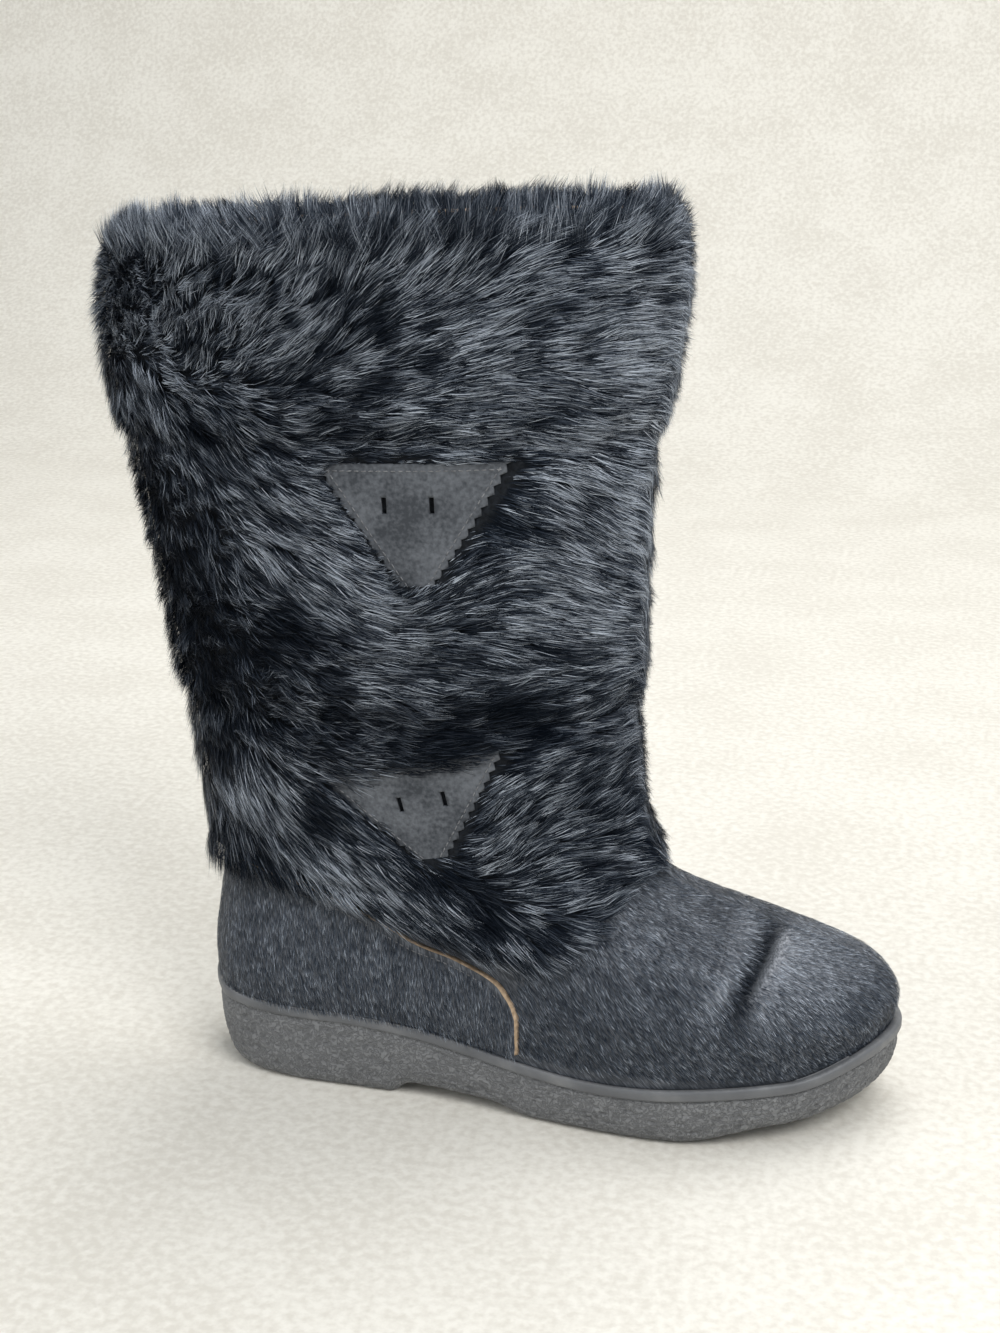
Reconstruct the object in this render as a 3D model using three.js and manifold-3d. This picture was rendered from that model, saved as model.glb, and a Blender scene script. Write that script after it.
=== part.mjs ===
// A right-foot mukluk boot: a moulded rubber sole with a crepe face, a foot of short-haired hide,
// and a tall shaft of long black fur in three tiers with two suede patches on its outer side.
// Millimetres. +X points to the toe, +Y to the inner side of the foot and +Z up.
// The origin is on the floor, at the middle of the heel's flat.

import * as THREE from "three";
import { mergeVertices } from "three/addons/utils/BufferGeometryUtils.js";
import Module from "manifold-3d";

const wasm = await Module();
wasm.setup();

// Driving dimensions of the sole
const soleLength = 275;
const heelWidth = 69;
const waistWidth = 66;
const ballWidth = 94;
const toeSwing = 11.5; // how far the toe's tip lies to the inner side of the heel's middle line
const heelHeight = 33.5; // floor to the bead's top, under the heel
const ballHeight = 22.5; // the same under the ball of the foot
const toeHeight = 34.2; // the same at the toe's tip
const toeSpring = 11; // how far the tread lifts off the floor at the tip
const archRise = 4.6; // how far the tread lifts off the floor between heel and forefoot
const beadHeight = 4.2; // the smooth moulded edge round the top of the sole
const beadStep = 0.9; // how far it stands out from the crepe side
const seatDepth = 4; // how far the foot sits down inside the bead
const treadInset = 7.5; // how far the side rolls under to the tread
const endRoll = 0.6; // the share by which it rolls under further at heel and toe

// Driving dimensions of the upper
const footHeight = 106; // floor to the bend where the instep turns up into the shaft
const shaftHeight = 232; // from that bend to the front of the collar
const shaftLength = 172; // front to back at the middle of the shaft
const shaftWidth = 90; // side to side at the same height
const upperWall = 2.6; // hide and lining together
const gap = 0.3; // between pieces that touch
const seatClearance = 0.45; // round the foot in the sole's seat

// Driving dimensions of the pieces sewn or laid on
const insoleThickness = 5;
const counterThickness = 1.5;
const counterLength = 134; // from the sole's back to the front edge of the counter
const furDepth = 9.5; // of the pelt and its standing hair
const furRise = 8; // of the hair above the collar's edge
const lockLength = 32;
const lockWidth = 13;
const lockDepth = 3;
const hemDrop = 5; // how far the longest hair hangs below a tier's seam
const lockLift = 4.5; // how far a lock's tip stands out from the pelt
const patchWidth = 71;
const patchDrop = 45;
const patchThickness = 1.8;
const pinkPitch = 4.6; // of the teeth cut along a patch's edges
const pinkDepth = 1.8;
const slitLength = 5.2;
const slitWidth = 1.3;
const slitSpacing = 17;
const slitDrop = 15; // from the patch's top edge to the slits' middle
const patchTip = 13; // width of the blunt lower corner
const patchBow = 0.7; // how far the lower edges bow out
const windowGrowth = 0.9; // how far the window in the fur clears the patch

// The sole seen from above, from back to tip. along is a share of soleLength, half a share of the
// width named beside it, and swing a share of toeSwing.
const plan = [
  { along: 0.0, half: 0.0, width: heelWidth, swing: 0.0 },
  { along: 0.028, half: 0.294, width: heelWidth, swing: 0.0 },
  { along: 0.07, half: 0.434, width: heelWidth, swing: 0.0 },
  { along: 0.14, half: 0.496, width: heelWidth, swing: -0.04 },
  { along: 0.246, half: 0.49, width: heelWidth, swing: -0.16 },
  { along: 0.368, half: 0.5, width: waistWidth, swing: -0.35 },
  { along: 0.49, half: 0.395, width: ballWidth, swing: -0.46 },
  { along: 0.6, half: 0.452, width: ballWidth, swing: -0.41 },
  { along: 0.684, half: 0.493, width: ballWidth, swing: -0.25 },
  { along: 0.754, half: 0.5, width: ballWidth, swing: -0.06 },
  { along: 0.825, half: 0.478, width: ballWidth, swing: 0.19 },
  { along: 0.895, half: 0.41, width: ballWidth, swing: 0.5 },
  { along: 0.947, half: 0.31, width: ballWidth, swing: 0.75 },
  { along: 0.982, half: 0.185, width: ballWidth, swing: 0.96 },
  { along: 1.0, half: 0.0, width: ballWidth, swing: 1.0 },
];

// Heights along the sole: lip is the bead's top and ground the tread.
const soleHeights = {
  lip: [
    { along: 0.0, height: heelHeight * 1.02 },
    { along: 0.21, height: heelHeight },
    { along: 0.6, height: ballHeight },
    { along: 0.86, height: ballHeight * 1.19 },
    { along: 1.0, height: toeHeight },
  ],
  ground: [
    { along: 0.285, height: 0 },
    { along: 0.315, height: archRise },
    { along: 0.44, height: archRise * 0.8 },
    { along: 0.505, height: 0 },
    { along: 0.72, height: 0 },
    { along: 0.86, height: toeSpring * 0.6 },
    { along: 1.0, height: toeSpring },
  ],
};

// Rings of the foot, from the sole up. back and front are shares of soleLength, backZ and frontZ of
// footHeight, half of ballWidth, and foot how far the ring keeps the sole's outline over an oval.
const footRings = [
  { back: 0.0145, front: 0.981, backZ: 0, frontZ: 0, half: 0.468, foot: 1, onSole: true },
  { back: 0.011, front: 0.991, backZ: 0.415, frontZ: 0.388, half: 0.48, foot: 1 },
  { back: 0.013, front: 0.986, backZ: 0.51, frontZ: 0.452, half: 0.466, foot: 0.99 },
  { back: 0.018, front: 0.96, backZ: 0.594, frontZ: 0.52, half: 0.44, foot: 0.95 },
  { back: 0.022, front: 0.912, backZ: 0.67, frontZ: 0.575, half: 0.414, foot: 0.87 },
  { back: 0.0255, front: 0.846, backZ: 0.736, frontZ: 0.635, half: 0.393, foot: 0.77 },
  { back: 0.027, front: 0.768, backZ: 0.802, frontZ: 0.695, half: 0.38, foot: 0.64 },
  { back: 0.027, front: 0.692, backZ: 0.877, frontZ: 0.77, half: 0.38, foot: 0.5 },
  { back: 0.0255, front: 0.643, backZ: 0.953, frontZ: 0.868, half: 0.39, foot: 0.35 },
  { back: 0.022, front: 0.613, backZ: 1.047, frontZ: 1.0, half: 0.405, foot: 0.2 },
];

// Rings of the shaft. back and front are shares of shaftLength from the sole's back, backZ and
// frontZ of shaftHeight above the foot, and half of shaftWidth.
const shaftRings = [
  { back: 0.023, front: 0.959, backZ: 0.078, frontZ: 0.078, half: 0.444, foot: 0.08 },
  { back: 0.0, front: 0.953, backZ: 0.172, frontZ: 0.181, half: 0.467, foot: 0 },
  { back: -0.023, front: 0.953, backZ: 0.284, frontZ: 0.297, half: 0.483, foot: 0 },
  { back: -0.047, front: 0.956, backZ: 0.405, frontZ: 0.422, half: 0.494, foot: 0 },
  { back: -0.081, front: 0.965, backZ: 0.526, frontZ: 0.547, half: 0.5, foot: 0 },
  { back: -0.116, front: 0.98, backZ: 0.642, frontZ: 0.668, half: 0.5, foot: 0 },
  { back: -0.145, front: 1.006, backZ: 0.759, frontZ: 0.789, half: 0.489, foot: 0 },
  { back: -0.151, front: 1.026, backZ: 0.862, frontZ: 0.897, half: 0.472, foot: 0 },
  { back: -0.134, front: 1.023, backZ: 0.948, frontZ: 1.0, half: 0.45, foot: 0 },
];
const ovalPower = 2.2; // 2 is an ellipse, and more is squarer
const shaftLean = 3; // how far the shaft's middle lies to the inner side

// The three tiers of fur, as ring numbers. depth is a share of furDepth at the tier's top and foot.
const collarRing = footRings.length + shaftRings.length - 1;
const seamCuff = 15.1;
const seamGap = 0.015;
const seamLower = 11.35;
const furFootRing = 3;
const lowerLockRing = 6.4; // of the lowest locks

// Half-height of the fur's lower edge as seen from the side: along is a share of soleLength and
// height of footHeight.
const furEdge = [
  { along: -0.3, height: 0.82 },
  { along: 0.03, height: 0.82 },
  { along: 0.2, height: 0.78 },
  { along: 0.3, height: 0.68 },
  { along: 0.4, height: 0.62 },
  { along: 0.5, height: 0.6 },
  { along: 0.57, height: 0.68 },
  { along: 0.63, height: 0.84 },
  { along: 0.69, height: 0.98 },
];

// A value from a table of heights, eased between its rows.
function heightAt(rows, along) {
  const last = rows.length - 1;
  if (along <= rows[0].along) return rows[0].height;
  for (let i = 0; i < last; i++) {
    const [low, high] = [rows[i], rows[i + 1]];
    if (along > high.along) continue;
    const t = (along - low.along) / (high.along - low.along);
    return THREE.MathUtils.lerp(low.height, high.height, t * t * (3 - 2 * t));
  }
  return rows[last].height;
}

const lipHeight = (along) => heightAt(soleHeights.lip, along);
const groundHeight = (along) => heightAt(soleHeights.ground, along);

// Uniform Catmull-Rom between b and c.
function spline(a, b, c, d, t) {
  const bend = 2 * a - 5 * b + 4 * c - d;
  return 0.5 * (2 * b + (c - a) * t + bend * t * t + (3 * b - a - 3 * c + d) * t * t * t);
}

const stationCount = 17; // along the sole, and so on each side of every ring

// The plan at row s: its share along, half width and swing. Past either end the outline goes on
// down its other side, so that heel and toe are round.
function planAt(s) {
  const last = plan.length - 1;
  const row = Math.min(Math.floor(s), last - 1);
  const value = (index, key) => {
    const mirrored = index < 0 ? -index : index > last ? 2 * last - index : index;
    const sign = key === "half" && mirrored !== index ? -1 : 1;
    const found = plan[mirrored];
    return key === "half" ? sign * found.half * found.width : found[key];
  };
  const at = (key) => spline(...[-1, 0, 1, 2].map((k) => value(row + k, key)), s - row);
  const column = (s * stationCount) / last;
  return { along: at("along"), half: at("half"), swing: at("swing") * toeSwing, column };
}

// Rows of the plan at which every ring has a point, from back to tip.
const stations = Array.from({ length: stationCount + 1 }, (_, i) =>
  planAt((i * (plan.length - 1)) / stationCount),
);
const columns = 2 * stationCount;

// Each column of a ring is a station on the outer side, going forward, and then on the inner side,
// coming back.
const stationOf = (column) => (column <= stationCount ? column : columns - column);
const sideOf = (column) => (column <= stationCount ? -1 : 1);

// A point of one ring of the upper's outer face.
function ringPoint(ring, column) {
  const station = stations[stationOf(column)];
  const t = station.along;
  const inShaft = ring.onShaft;
  const back = ring.back * (inShaft ? shaftLength : soleLength);
  const front = ring.front * (inShaft ? shaftLength : soleLength);
  const height = (share) => (inShaft ? footHeight + share * shaftHeight : share * footHeight);
  const half = ring.half * (inShaft ? shaftWidth : ballWidth);
  const oval = Math.pow(Math.max(0, 1 - Math.pow(Math.abs(2 * t - 1), ovalPower)), 1 / ovalPower);
  const outline = station.half / (ballWidth / 2);
  const swing = THREE.MathUtils.lerp(shaftLean, station.swing, ring.foot);
  const x = back + (front - back) * t;
  const z = ring.onSole
    ? lipHeight(t) - seatDepth + gap
    : THREE.MathUtils.lerp(height(ring.backZ), height(ring.frontZ), t);
  const y = swing + sideOf(column) * half * THREE.MathUtils.lerp(oval, outline, ring.foot);
  return new THREE.Vector3(x, y, z);
}

const rings = [...footRings, ...shaftRings.map((ring) => ({ ...ring, onShaft: true }))];
const skin = rings.map((ring) =>
  Array.from({ length: columns }, (_, column) => ringPoint(ring, column)),
);
const wrap = (column) => (column + columns) % columns;
const normals = skin.map((ring, i) =>
  ring.map((_, j) => {
    const around = skin[i][wrap(j + 1)].clone().sub(skin[i][wrap(j - 1)]);
    const up = skin[Math.min(i + 1, skin.length - 1)][j].clone();
    up.sub(skin[Math.max(i - 1, 0)][j]);
    return around.cross(up).normalize();
  }),
);

// The upper's own function: a point at any ring and column number, a given way outside its face.
function upperPoint(ring, column, outside) {
  const low = Math.min(Math.floor(ring), skin.length - 2);
  const left = Math.floor(column);
  const corner = (i, j) =>
    skin[i][wrap(j)].clone().addScaledVector(normals[i][wrap(j)], outside);
  const along = (i) => corner(i, left).lerp(corner(i, left + 1), column - left);
  return along(low).lerp(along(low + 1), ring - low);
}

// A whole ring of such points, each raised by lift(column).
const level = () => 0;
const ringOf = (ring, outside, lift = level) =>
  Array.from({ length: columns }, (_, column) => {
    const point = upperPoint(ring, column, outside);
    return point.setZ(point.z + lift(column));
  });

// Ring numbers from low to high: both ends, and every whole one between.
function ringSpan(low, high) {
  const whole = [];
  for (let i = Math.floor(low) + 1; i < high; i++) whole.push(i);
  return [low, ...whole, high];
}

// Triangles between two neighbouring rows of a loft.
function skirt(lower, upper, width, triangles) {
  for (let j = 0; j < width; j++) {
    const next = (j + 1) % width;
    triangles.push([lower + j, lower + next, upper + next]);
    triangles.push([lower + j, upper + next, upper + j]);
  }
}

function solidOf(points, triangles) {
  const geometry = new THREE.BufferGeometry();
  const positions = new Float32Array(points.flatMap((p) => [p.x, p.y, p.z]));
  geometry.setAttribute("position", new THREE.BufferAttribute(positions, 3));
  geometry.setIndex(triangles.flat());
  return solidFrom(geometry);
}

function solidFrom(geometry) {
  const plain = geometry.clone();
  plain.deleteAttribute("normal");
  plain.deleteAttribute("uv");
  const merged = mergeVertices(plain, 1e-4);
  return new wasm.Manifold(
    new wasm.Mesh({
      numProp: 3,
      vertProperties: merged.attributes.position.array,
      triVerts: new Uint32Array(merged.index.array),
    }),
  );
}

// A tube open at both ends: rows go up its outside and come down its inside.
function tube(rows) {
  const triangles = [];
  const width = rows[0].length;
  rows.forEach((_, i) => skirt(i * width, ((i + 1) % rows.length) * width, width, triangles));
  return solidOf(rows.flat(), triangles);
}

// A closed body through rows from bottom to top, with ends laid straight across from side to side.
function body(rows) {
  const triangles = [];
  const width = rows[0].length;
  for (let i = 0; i < rows.length - 1; i++) skirt(i * width, (i + 1) * width, width, triangles);
  const top = (rows.length - 1) * width;
  const half = width / 2;
  for (let j = 0; j < half; j++) {
    const [outer, nextOuter] = [j, j + 1];
    const [inner, nextInner] = [(width - j) % width, width - j - 1];
    if (nextOuter !== nextInner) {
      triangles.push([top + outer, top + nextOuter, top + nextInner]);
      triangles.push([nextOuter, outer, nextInner]);
    }
    if (inner !== outer) {
      triangles.push([top + outer, top + nextInner, top + inner]);
      triangles.push([nextInner, outer, inner]);
    }
  }
  return solidOf(rows.flat(), triangles);
}

// A prism across the boot with the given outline in side view, from y = near to y = far.
function sidePrism(outline, near, far) {
  const shape = new THREE.Shape(outline.map(([x, z]) => new THREE.Vector2(x, z)));
  return shapePrism(shape, near, far);
}

function shapePrism(shape, near, far) {
  const geometry = new THREE.ExtrudeGeometry(shape, {
    depth: far - near,
    bevelEnabled: false,
    curveSegments: 6,
  });
  geometry.rotateX(Math.PI / 2);
  geometry.translate(0, far, 0);
  return solidFrom(geometry);
}

// A node of the boot from a solid.
function piece(name, solid, material) {
  const mesh = solid.getMesh();
  const positions = new Float32Array(mesh.numVert * 3);
  for (let i = 0; i < mesh.numVert; i++) {
    for (let k = 0; k < 3; k++) positions[3 * i + k] = mesh.vertProperties[mesh.numProp * i + k];
  }
  const geometry = new THREE.BufferGeometry();
  geometry.setAttribute("position", new THREE.BufferAttribute(positions, 3));
  geometry.setIndex(new THREE.BufferAttribute(mesh.triVerts, 1));
  geometry.computeVertexNormals();
  const made = new THREE.Mesh(geometry, material);
  made.name = name;
  return made;
}

// Outsole: one moulding, with a crepe side that rolls under to the tread, a stepped heel and
// forefoot, and a smooth bead whose inside is the seat of the foot.
const soleBreaks = [0.285, 0.3, 0.315, 0.44, 0.4725, 0.505];

function soleStations() {
  const rowAt = (along) => {
    let [low, high] = [0, plan.length - 1];
    for (let k = 0; k < 40; k++) {
      const middle = (low + high) / 2;
      if (planAt(middle).along < along) low = middle;
      else high = middle;
    }
    return low;
  };
  const regular = stations.map((_, i) => (i * (plan.length - 1)) / stationCount);
  const breaks = soleBreaks.map(rowAt);
  const kept = regular.filter((s) => breaks.every((b) => Math.abs(b - s) > 0.25));
  return [...kept, ...breaks].sort((a, b) => a - b).map(planAt);
}

// One row of the sole: bothSides gives its point at a place on the outer (-1) or inner (1) side.
function soleRow(places, bothSides) {
  const outer = places.map((place) => bothSides(place, -1));
  const inner = places.slice(1, -1).reverse().map((place) => bothSides(place, 1));
  return [...outer, ...inner];
}

// A row drawn in from the bead's edge, and further in at heel and toe.
function sideRow(places, inset, heightOf) {
  const drawn = (along) => inset * (1 + endRoll * Math.pow(Math.abs(2 * along - 1), 6));
  return soleRow(places, ({ along, half, swing }, side) => {
    const x = soleLength * along + drawn(along) * (1 - 2 * along);
    const narrowed = half * (1 - (2 * inset) / ballWidth);
    return new THREE.Vector3(x, swing + side * narrowed, heightOf(along));
  });
}

// A row of the seat, just outside the upper: its floor, or its brim at the bead's top.
function seatRow(places, atBrim) {
  return soleRow(places, ({ along, column }, side) => {
    const turned = side < 0 ? column : columns - column;
    const point = upperPoint(atBrim ? 0.3 : 0, turned, seatClearance);
    const floor = upperPoint(0, turned, 0).z - gap;
    return point.setZ(atBrim ? lipHeight(along) : floor);
  });
}

function outsole() {
  const places = soleStations();
  const between = (share) => (along) =>
    THREE.MathUtils.lerp(groundHeight(along), lipHeight(along) - beadHeight, share);
  const belowLip = (drop) => (along) => lipHeight(along) - drop;
  return body([
    sideRow(places, treadInset, groundHeight),
    sideRow(places, treadInset * 0.56, between(0.07)),
    sideRow(places, treadInset * 0.3, between(0.26)),
    sideRow(places, beadStep + 0.2, between(0.6)),
    sideRow(places, beadStep, belowLip(beadHeight)),
    sideRow(places, 0, belowLip(beadHeight * 0.86)),
    sideRow(places, 0, belowLip(beadHeight * 0.25)),
    sideRow(places, beadHeight * 0.16, belowLip(0)),
    seatRow(places, true),
    seatRow(places, false),
  ]);
}

// Upper: hide and lining as one wall, from the seat in the sole to the collar.
function upper() {
  const span = ringSpan(0, collarRing);
  const outside = span.map((ring) => ringOf(ring, 0));
  const inside = span.map((ring) => ringOf(ring, -upperWall)).reverse();
  return tube([...outside, ...inside]);
}

// Insole: a flat sock of felt that lies in the sole's seat, inside the upper.
function insole() {
  const inset = -(upperWall + gap);
  const layer = (lift) =>
    ringOf(0, inset).map((point, column) => {
      const along = stations[stationOf(column)].along;
      return point.setZ(lipHeight(along) - seatDepth + gap + lift);
    });
  return body([layer(0), layer(insoleThickness)]);
}

// Heel counter: short-haired hide wrapped round the back of the foot, cut from a shell of the
// upper, with a front edge that turns down through a round corner.
const counterRings = [0.15, 8]; // the rings that its shell spans
const counterReach = 20; // how far the outline runs on behind the heel
// Its edge from the sole up and back, x from the sole's back and z from the floor.
const counterEdge = [
  { x: 135.5, z: 41.5 }, { x: 132.6, z: 48.5 }, { x: 125.4, z: 56.3 },
  { x: 110, z: 62.2 }, { x: 94, z: 66 }, { x: 78, z: 73 },
  { x: 55, z: 82 }, { x: 20, z: 90 }, { x: -counterReach, z: 94 },
];

function heelCounter() {
  const [low, high] = counterRings;
  const inside = gap * 1.5;
  const outside = gap + counterThickness;
  const shell = tube([
    ...ringSpan(low, high).map((ring) => ringOf(ring, outside)),
    ...ringSpan(low, high).map((ring) => ringOf(ring, inside)).reverse(),
  ]);
  const shape = new THREE.Shape();
  const lipEdge = (x) => lipHeight(x / soleLength) + gap;
  const steps = 12;
  shape.moveTo(-counterReach, lipEdge(0));
  for (let i = 0; i <= steps; i++) {
    const x = (counterLength * i) / steps;
    shape.lineTo(x, lipEdge(x));
  }
  const edge = new THREE.SplineCurve(counterEdge.map(({ x, z }) => new THREE.Vector2(x, z)));
  for (const point of edge.getPoints(steps * 2)) shape.lineTo(point.x, point.y);
  const half = ballWidth;
  return shell.intersect(shapePrism(shape, -half, half));
}

// Patches: upside-down triangles of suede, with teeth pinked along their two lower edges and a pair
// of slits. x is a share of soleLength, z of shaftHeight, and grow widens the outline all round,
// for the window in the fur.
const wellClear = 50; // how far a cutter reaches past what it cuts
const patches = [
  { name: "patch_upper", x: 0.349, z: 0.643, tilt: 0.04, width: 1, drop: 1, slits: -0.024 },
  { name: "patch_lower", x: 0.336, z: 0.151, tilt: 0.22, width: 1.03, drop: 0.85, slits: 0.026 },
];

function patchOutline(patch, grow, toothed) {
  const half = (patchWidth * patch.width) / 2 + grow * 2;
  const [top, foot] = [grow, -patchDrop * patch.drop - grow * 2];
  const tip = patchTip / 2 + grow;
  const outline = [];
  const edge = (fromX, fromZ, toX, toZ) => {
    const length = Math.hypot(toX - fromX, toZ - fromZ);
    const [dx, dz] = [(toX - fromX) / length, (toZ - fromZ) / length];
    const teeth = toothed ? Math.round(length / pinkPitch) : 1;
    const point = (share, inward) => {
      const inset = inward - 4 * patchBow * share * (1 - share);
      const at = share * length;
      outline.push([fromX + dx * at - dz * inset, fromZ + dz * at + dx * inset]);
    };
    for (let i = 0; i < teeth; i++) {
      point(i / teeth, 0);
      if (toothed) point((i + 0.5) / teeth, pinkDepth);
    }
    point(1, 0);
  };
  edge(-half, top, -tip, foot);
  edge(tip, foot, half, top);
  return outline;
}

// A prism across the outer side of the shaft, where a patch lies.
function patchPrism(patch, outline) {
  const shape = new THREE.Shape(outline.map(([x, z]) => new THREE.Vector2(x, z)));
  const geometry = new THREE.ExtrudeGeometry(shape, { depth: shaftWidth, bevelEnabled: false });
  geometry.rotateZ(patch.tilt);
  geometry.rotateX(Math.PI / 2);
  geometry.translate(patch.x * soleLength, 0, footHeight + patch.z * shaftHeight);
  return solidFrom(geometry);
}

function patchSolid(patch) {
  const span = ringSpan(footRings.length - 1, collarRing - 1);
  const shell = tube([
    ...span.map((ring) => ringOf(ring, gap + patchThickness)),
    ...span.map((ring) => ringOf(ring, gap)).reverse(),
  ]);
  const slits = [-0.5, 0.5].map((side) => {
    const middle = side * slitSpacing + patch.slits * patchWidth;
    const [left, right] = [middle - slitWidth / 2, middle + slitWidth / 2];
    const [foot, top] = [-slitDrop - slitLength / 2, -slitDrop + slitLength / 2];
    return patchPrism(patch, [[left, foot], [right, foot], [right, top], [left, top]]);
  });
  const whole = shell.intersect(patchPrism(patch, patchOutline(patch, 0, true)));
  return slits.reduce((left, slit) => left.subtract(slit), whole);
}

// Fur: each tier is a sleeve of pelt round the upper, thin at its top and full at its foot, with
// locks of hair fused on in rows. A repeatable scatter keeps the locks from lining up.
const scatter = (seed) => {
  const wave = Math.sin(seed * 12.9898) * 43758.5453;
  return wave - Math.floor(wave);
};

// Column numbers spread evenly by length round the shaft.
const girthRing = 13;
const girth = skin[girthRing].map((point, j) => point.distanceTo(skin[girthRing][wrap(j + 1)]));
const girthTotal = girth.reduce((sum, length) => sum + length, 0);
function columnAt(share) {
  let left = (((share % 1) + 1) % 1) * girthTotal;
  for (let j = 0; j < columns; j++) {
    if (left <= girth[j]) return j + left / girth[j];
    left -= girth[j];
  }
  return 0;
}

// One lock: a flat tapered tuft rooted in the pelt, which lies along the surface and lifts to a
// tip. turn is how far it swings from straight down towards the toe.
function lock(ring, column, depth, turn, size) {
  const here = upperPoint(ring, column, depth);
  const ringStep = upperPoint(ring - 0.5, column, depth).distanceTo(here) * 2;
  const columnStep = upperPoint(ring, wrap(column + 0.5), depth).distanceTo(here) * 2;
  const forward = column < stationCount ? 1 : -1;
  const place = (share, lift) => {
    const reach = lockLength * size * share;
    const r = THREE.MathUtils.clamp(ring - (Math.cos(turn) * reach) / ringStep, 0, collarRing);
    const c = column + (forward * Math.sin(turn) * reach) / columnStep;
    return upperPoint(r, (c + columns) % columns, depth + lift);
  };
  const [root, swell, tip] = [place(0, -lockDepth), place(0.4, lockDepth), place(1, lockLift)];
  const outward = place(0.4, 2 * lockDepth).sub(swell).normalize();
  const across = tip.clone().sub(root).cross(outward).normalize();
  const half = (lockWidth * size) / 2;
  const side = (sign) => place(0.35, -lockDepth / 2).addScaledVector(across, sign * half);
  const points = [root, side(1), side(-1), swell, tip];
  const triangles = [[0, 1, 3], [0, 3, 2], [1, 4, 3], [2, 3, 4], [0, 2, 1], [1, 2, 4]];
  const made = solidOf(points, triangles);
  return made.volume() > 0 ? made : solidOf(points, triangles.map(([i, j, k]) => [i, k, j]));
}

// Rows of locks between two rings. They hang at the back and front of the boot and swing towards
// the toe on its sides.
function locks({ low, high, rows, count, turn, seed }, depthOf) {
  const made = [];
  for (let r = 0; r < rows; r++) {
    for (let k = 0; k < count; k++) {
      const n = seed + r * count + k;
      const share = (k + 0.5 * (r % 2) + 0.35 * (scatter(n) - 0.5)) / count;
      const ring = THREE.MathUtils.lerp(low, high, (r + 0.6 * scatter(n + 71)) / rows);
      const column = columnAt(share);
      const along = stations[stationOf(Math.floor(column))].along;
      const swing = turn * Math.sqrt(4 * along * (1 - along)) + 0.5 * (scatter(n + 211) - 0.5);
      made.push(lock(ring, column, depthOf(ring), swing, 0.8 + 0.4 * scatter(n + 137)));
    }
  }
  return made;
}

// A sleeve between two rings. Its outside bellies to the full depth near its ragged foot, and rise
// carries a ragged crest above its top.
function sleeve(low, high, topDepth, footDepth, rise = 0) {
  const depthOf = (ring) => {
    const share = THREE.MathUtils.clamp((ring - low) / (high - low), 0, 1);
    return furDepth * THREE.MathUtils.lerp(footDepth, topDepth, share * share);
  };
  const ragged = (most) => (column) => most * scatter(column + low * 7);
  const [foot, ...above] = ringSpan(low, high);
  const outside = above.map((ring) => ringOf(ring, depthOf(ring)));
  const hem = ringOf(foot, depthOf(foot) * 0.75, ragged(-hemDrop));
  const inside = ringSpan(low, high).map((ring) => ringOf(ring, gap)).reverse();
  const crest = rise
    ? [ringOf(high, furDepth * 0.7, ragged(rise)), ringOf(high, furDepth * 0.3, ragged(rise * 1.3))]
    : [];
  return { solid: tube([hem, ...outside, ...crest, ...inside]), depthOf };
}

function patchWindow(patch) {
  return patchPrism(patch, patchOutline(patch, windowGrowth, false));
}

// What lies below the fur's lower edge in side view.
function belowFurEdge() {
  const [first, last] = [furEdge[0], furEdge[furEdge.length - 1]];
  const outline = furEdge.map((row) => [row.along * soleLength, row.height * footHeight]);
  return sidePrism(
    [
      ...outline,
      [soleLength * 1.2, last.height * footHeight],
      [soleLength * 1.2, -wellClear],
      [first.along * soleLength, -wellClear],
    ].reverse(),
    -shaftWidth,
    shaftWidth,
  );
}

function furTiers() {
  const cuff = sleeve(seamCuff + seamGap, collarRing, 0.8, 1.15, furRise);
  const middle = sleeve(seamLower + seamGap, seamCuff, 0.6, 1.0);
  const lower = sleeve(furFootRing, seamLower, 0.6, 0.9);
  const cuffRows = { low: seamCuff, high: collarRing - 0.2, rows: 4, count: 14 };
  const middleRows = { low: seamLower, high: seamCuff - 1.4, rows: 3, count: 12 };
  const lowerRows = { low: lowerLockRing, high: seamLower - 1.5, rows: 2, count: 13 };
  const grown = (low, high, depth) =>
    tube([
      ...ringSpan(low, high).map((ring) => ringOf(ring, depth(ring) + gap)),
      ...ringSpan(low, high).map((ring) => ringOf(ring, -upperWall)).reverse(),
    ]);
  const foot = grown(1, footRings.length - 1, () => gap + counterThickness);
  const shaft = grown(furFootRing, collarRing, () => 0);
  const underCuff = grown(seamLower + seamGap, seamCuff + seamGap, middle.depthOf);
  const underMiddle = grown(furFootRing, seamLower + seamGap, lower.depthOf);
  const windows = patches.map(patchWindow);
  const cut = (solid, ...others) => others.reduce((left, other) => left.subtract(other), solid);
  const fused = (base, tufts) => tufts.reduce((sum, tuft) => sum.add(tuft), base);
  const cuffLocks = locks({ ...cuffRows, turn: 1.1, seed: 1 }, cuff.depthOf);
  const middleLocks = locks({ ...middleRows, turn: 1.2, seed: 501 }, middle.depthOf);
  const lowerLocks = locks({ ...lowerRows, turn: 1.2, seed: 701 }, lower.depthOf);
  const lowerSleeve = cut(lower.solid, belowFurEdge());
  return {
    cuff: cut(fused(cuff.solid, cuffLocks), underCuff, shaft, ...windows),
    middle: cut(fused(middle.solid, middleLocks), underMiddle, shaft, ...windows),
    lower: cut(fused(lowerSleeve, lowerLocks), foot, shaft, ...windows),
  };
}

// Materials: colours are those of the worn black hide, fur and rubber.
const material = (color, roughness) =>
  new THREE.MeshStandardMaterial({ color, roughness, metalness: 0 });
const rubber = material(0x3c3c3c, 0.75);
const hide = material(0x1c1d20, 0.6);
const fur = material(0x101114, 0.55);
const suede = material(0x2b2b2d, 0.9);
const felt = material(0x8f8878, 0.95);

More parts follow.
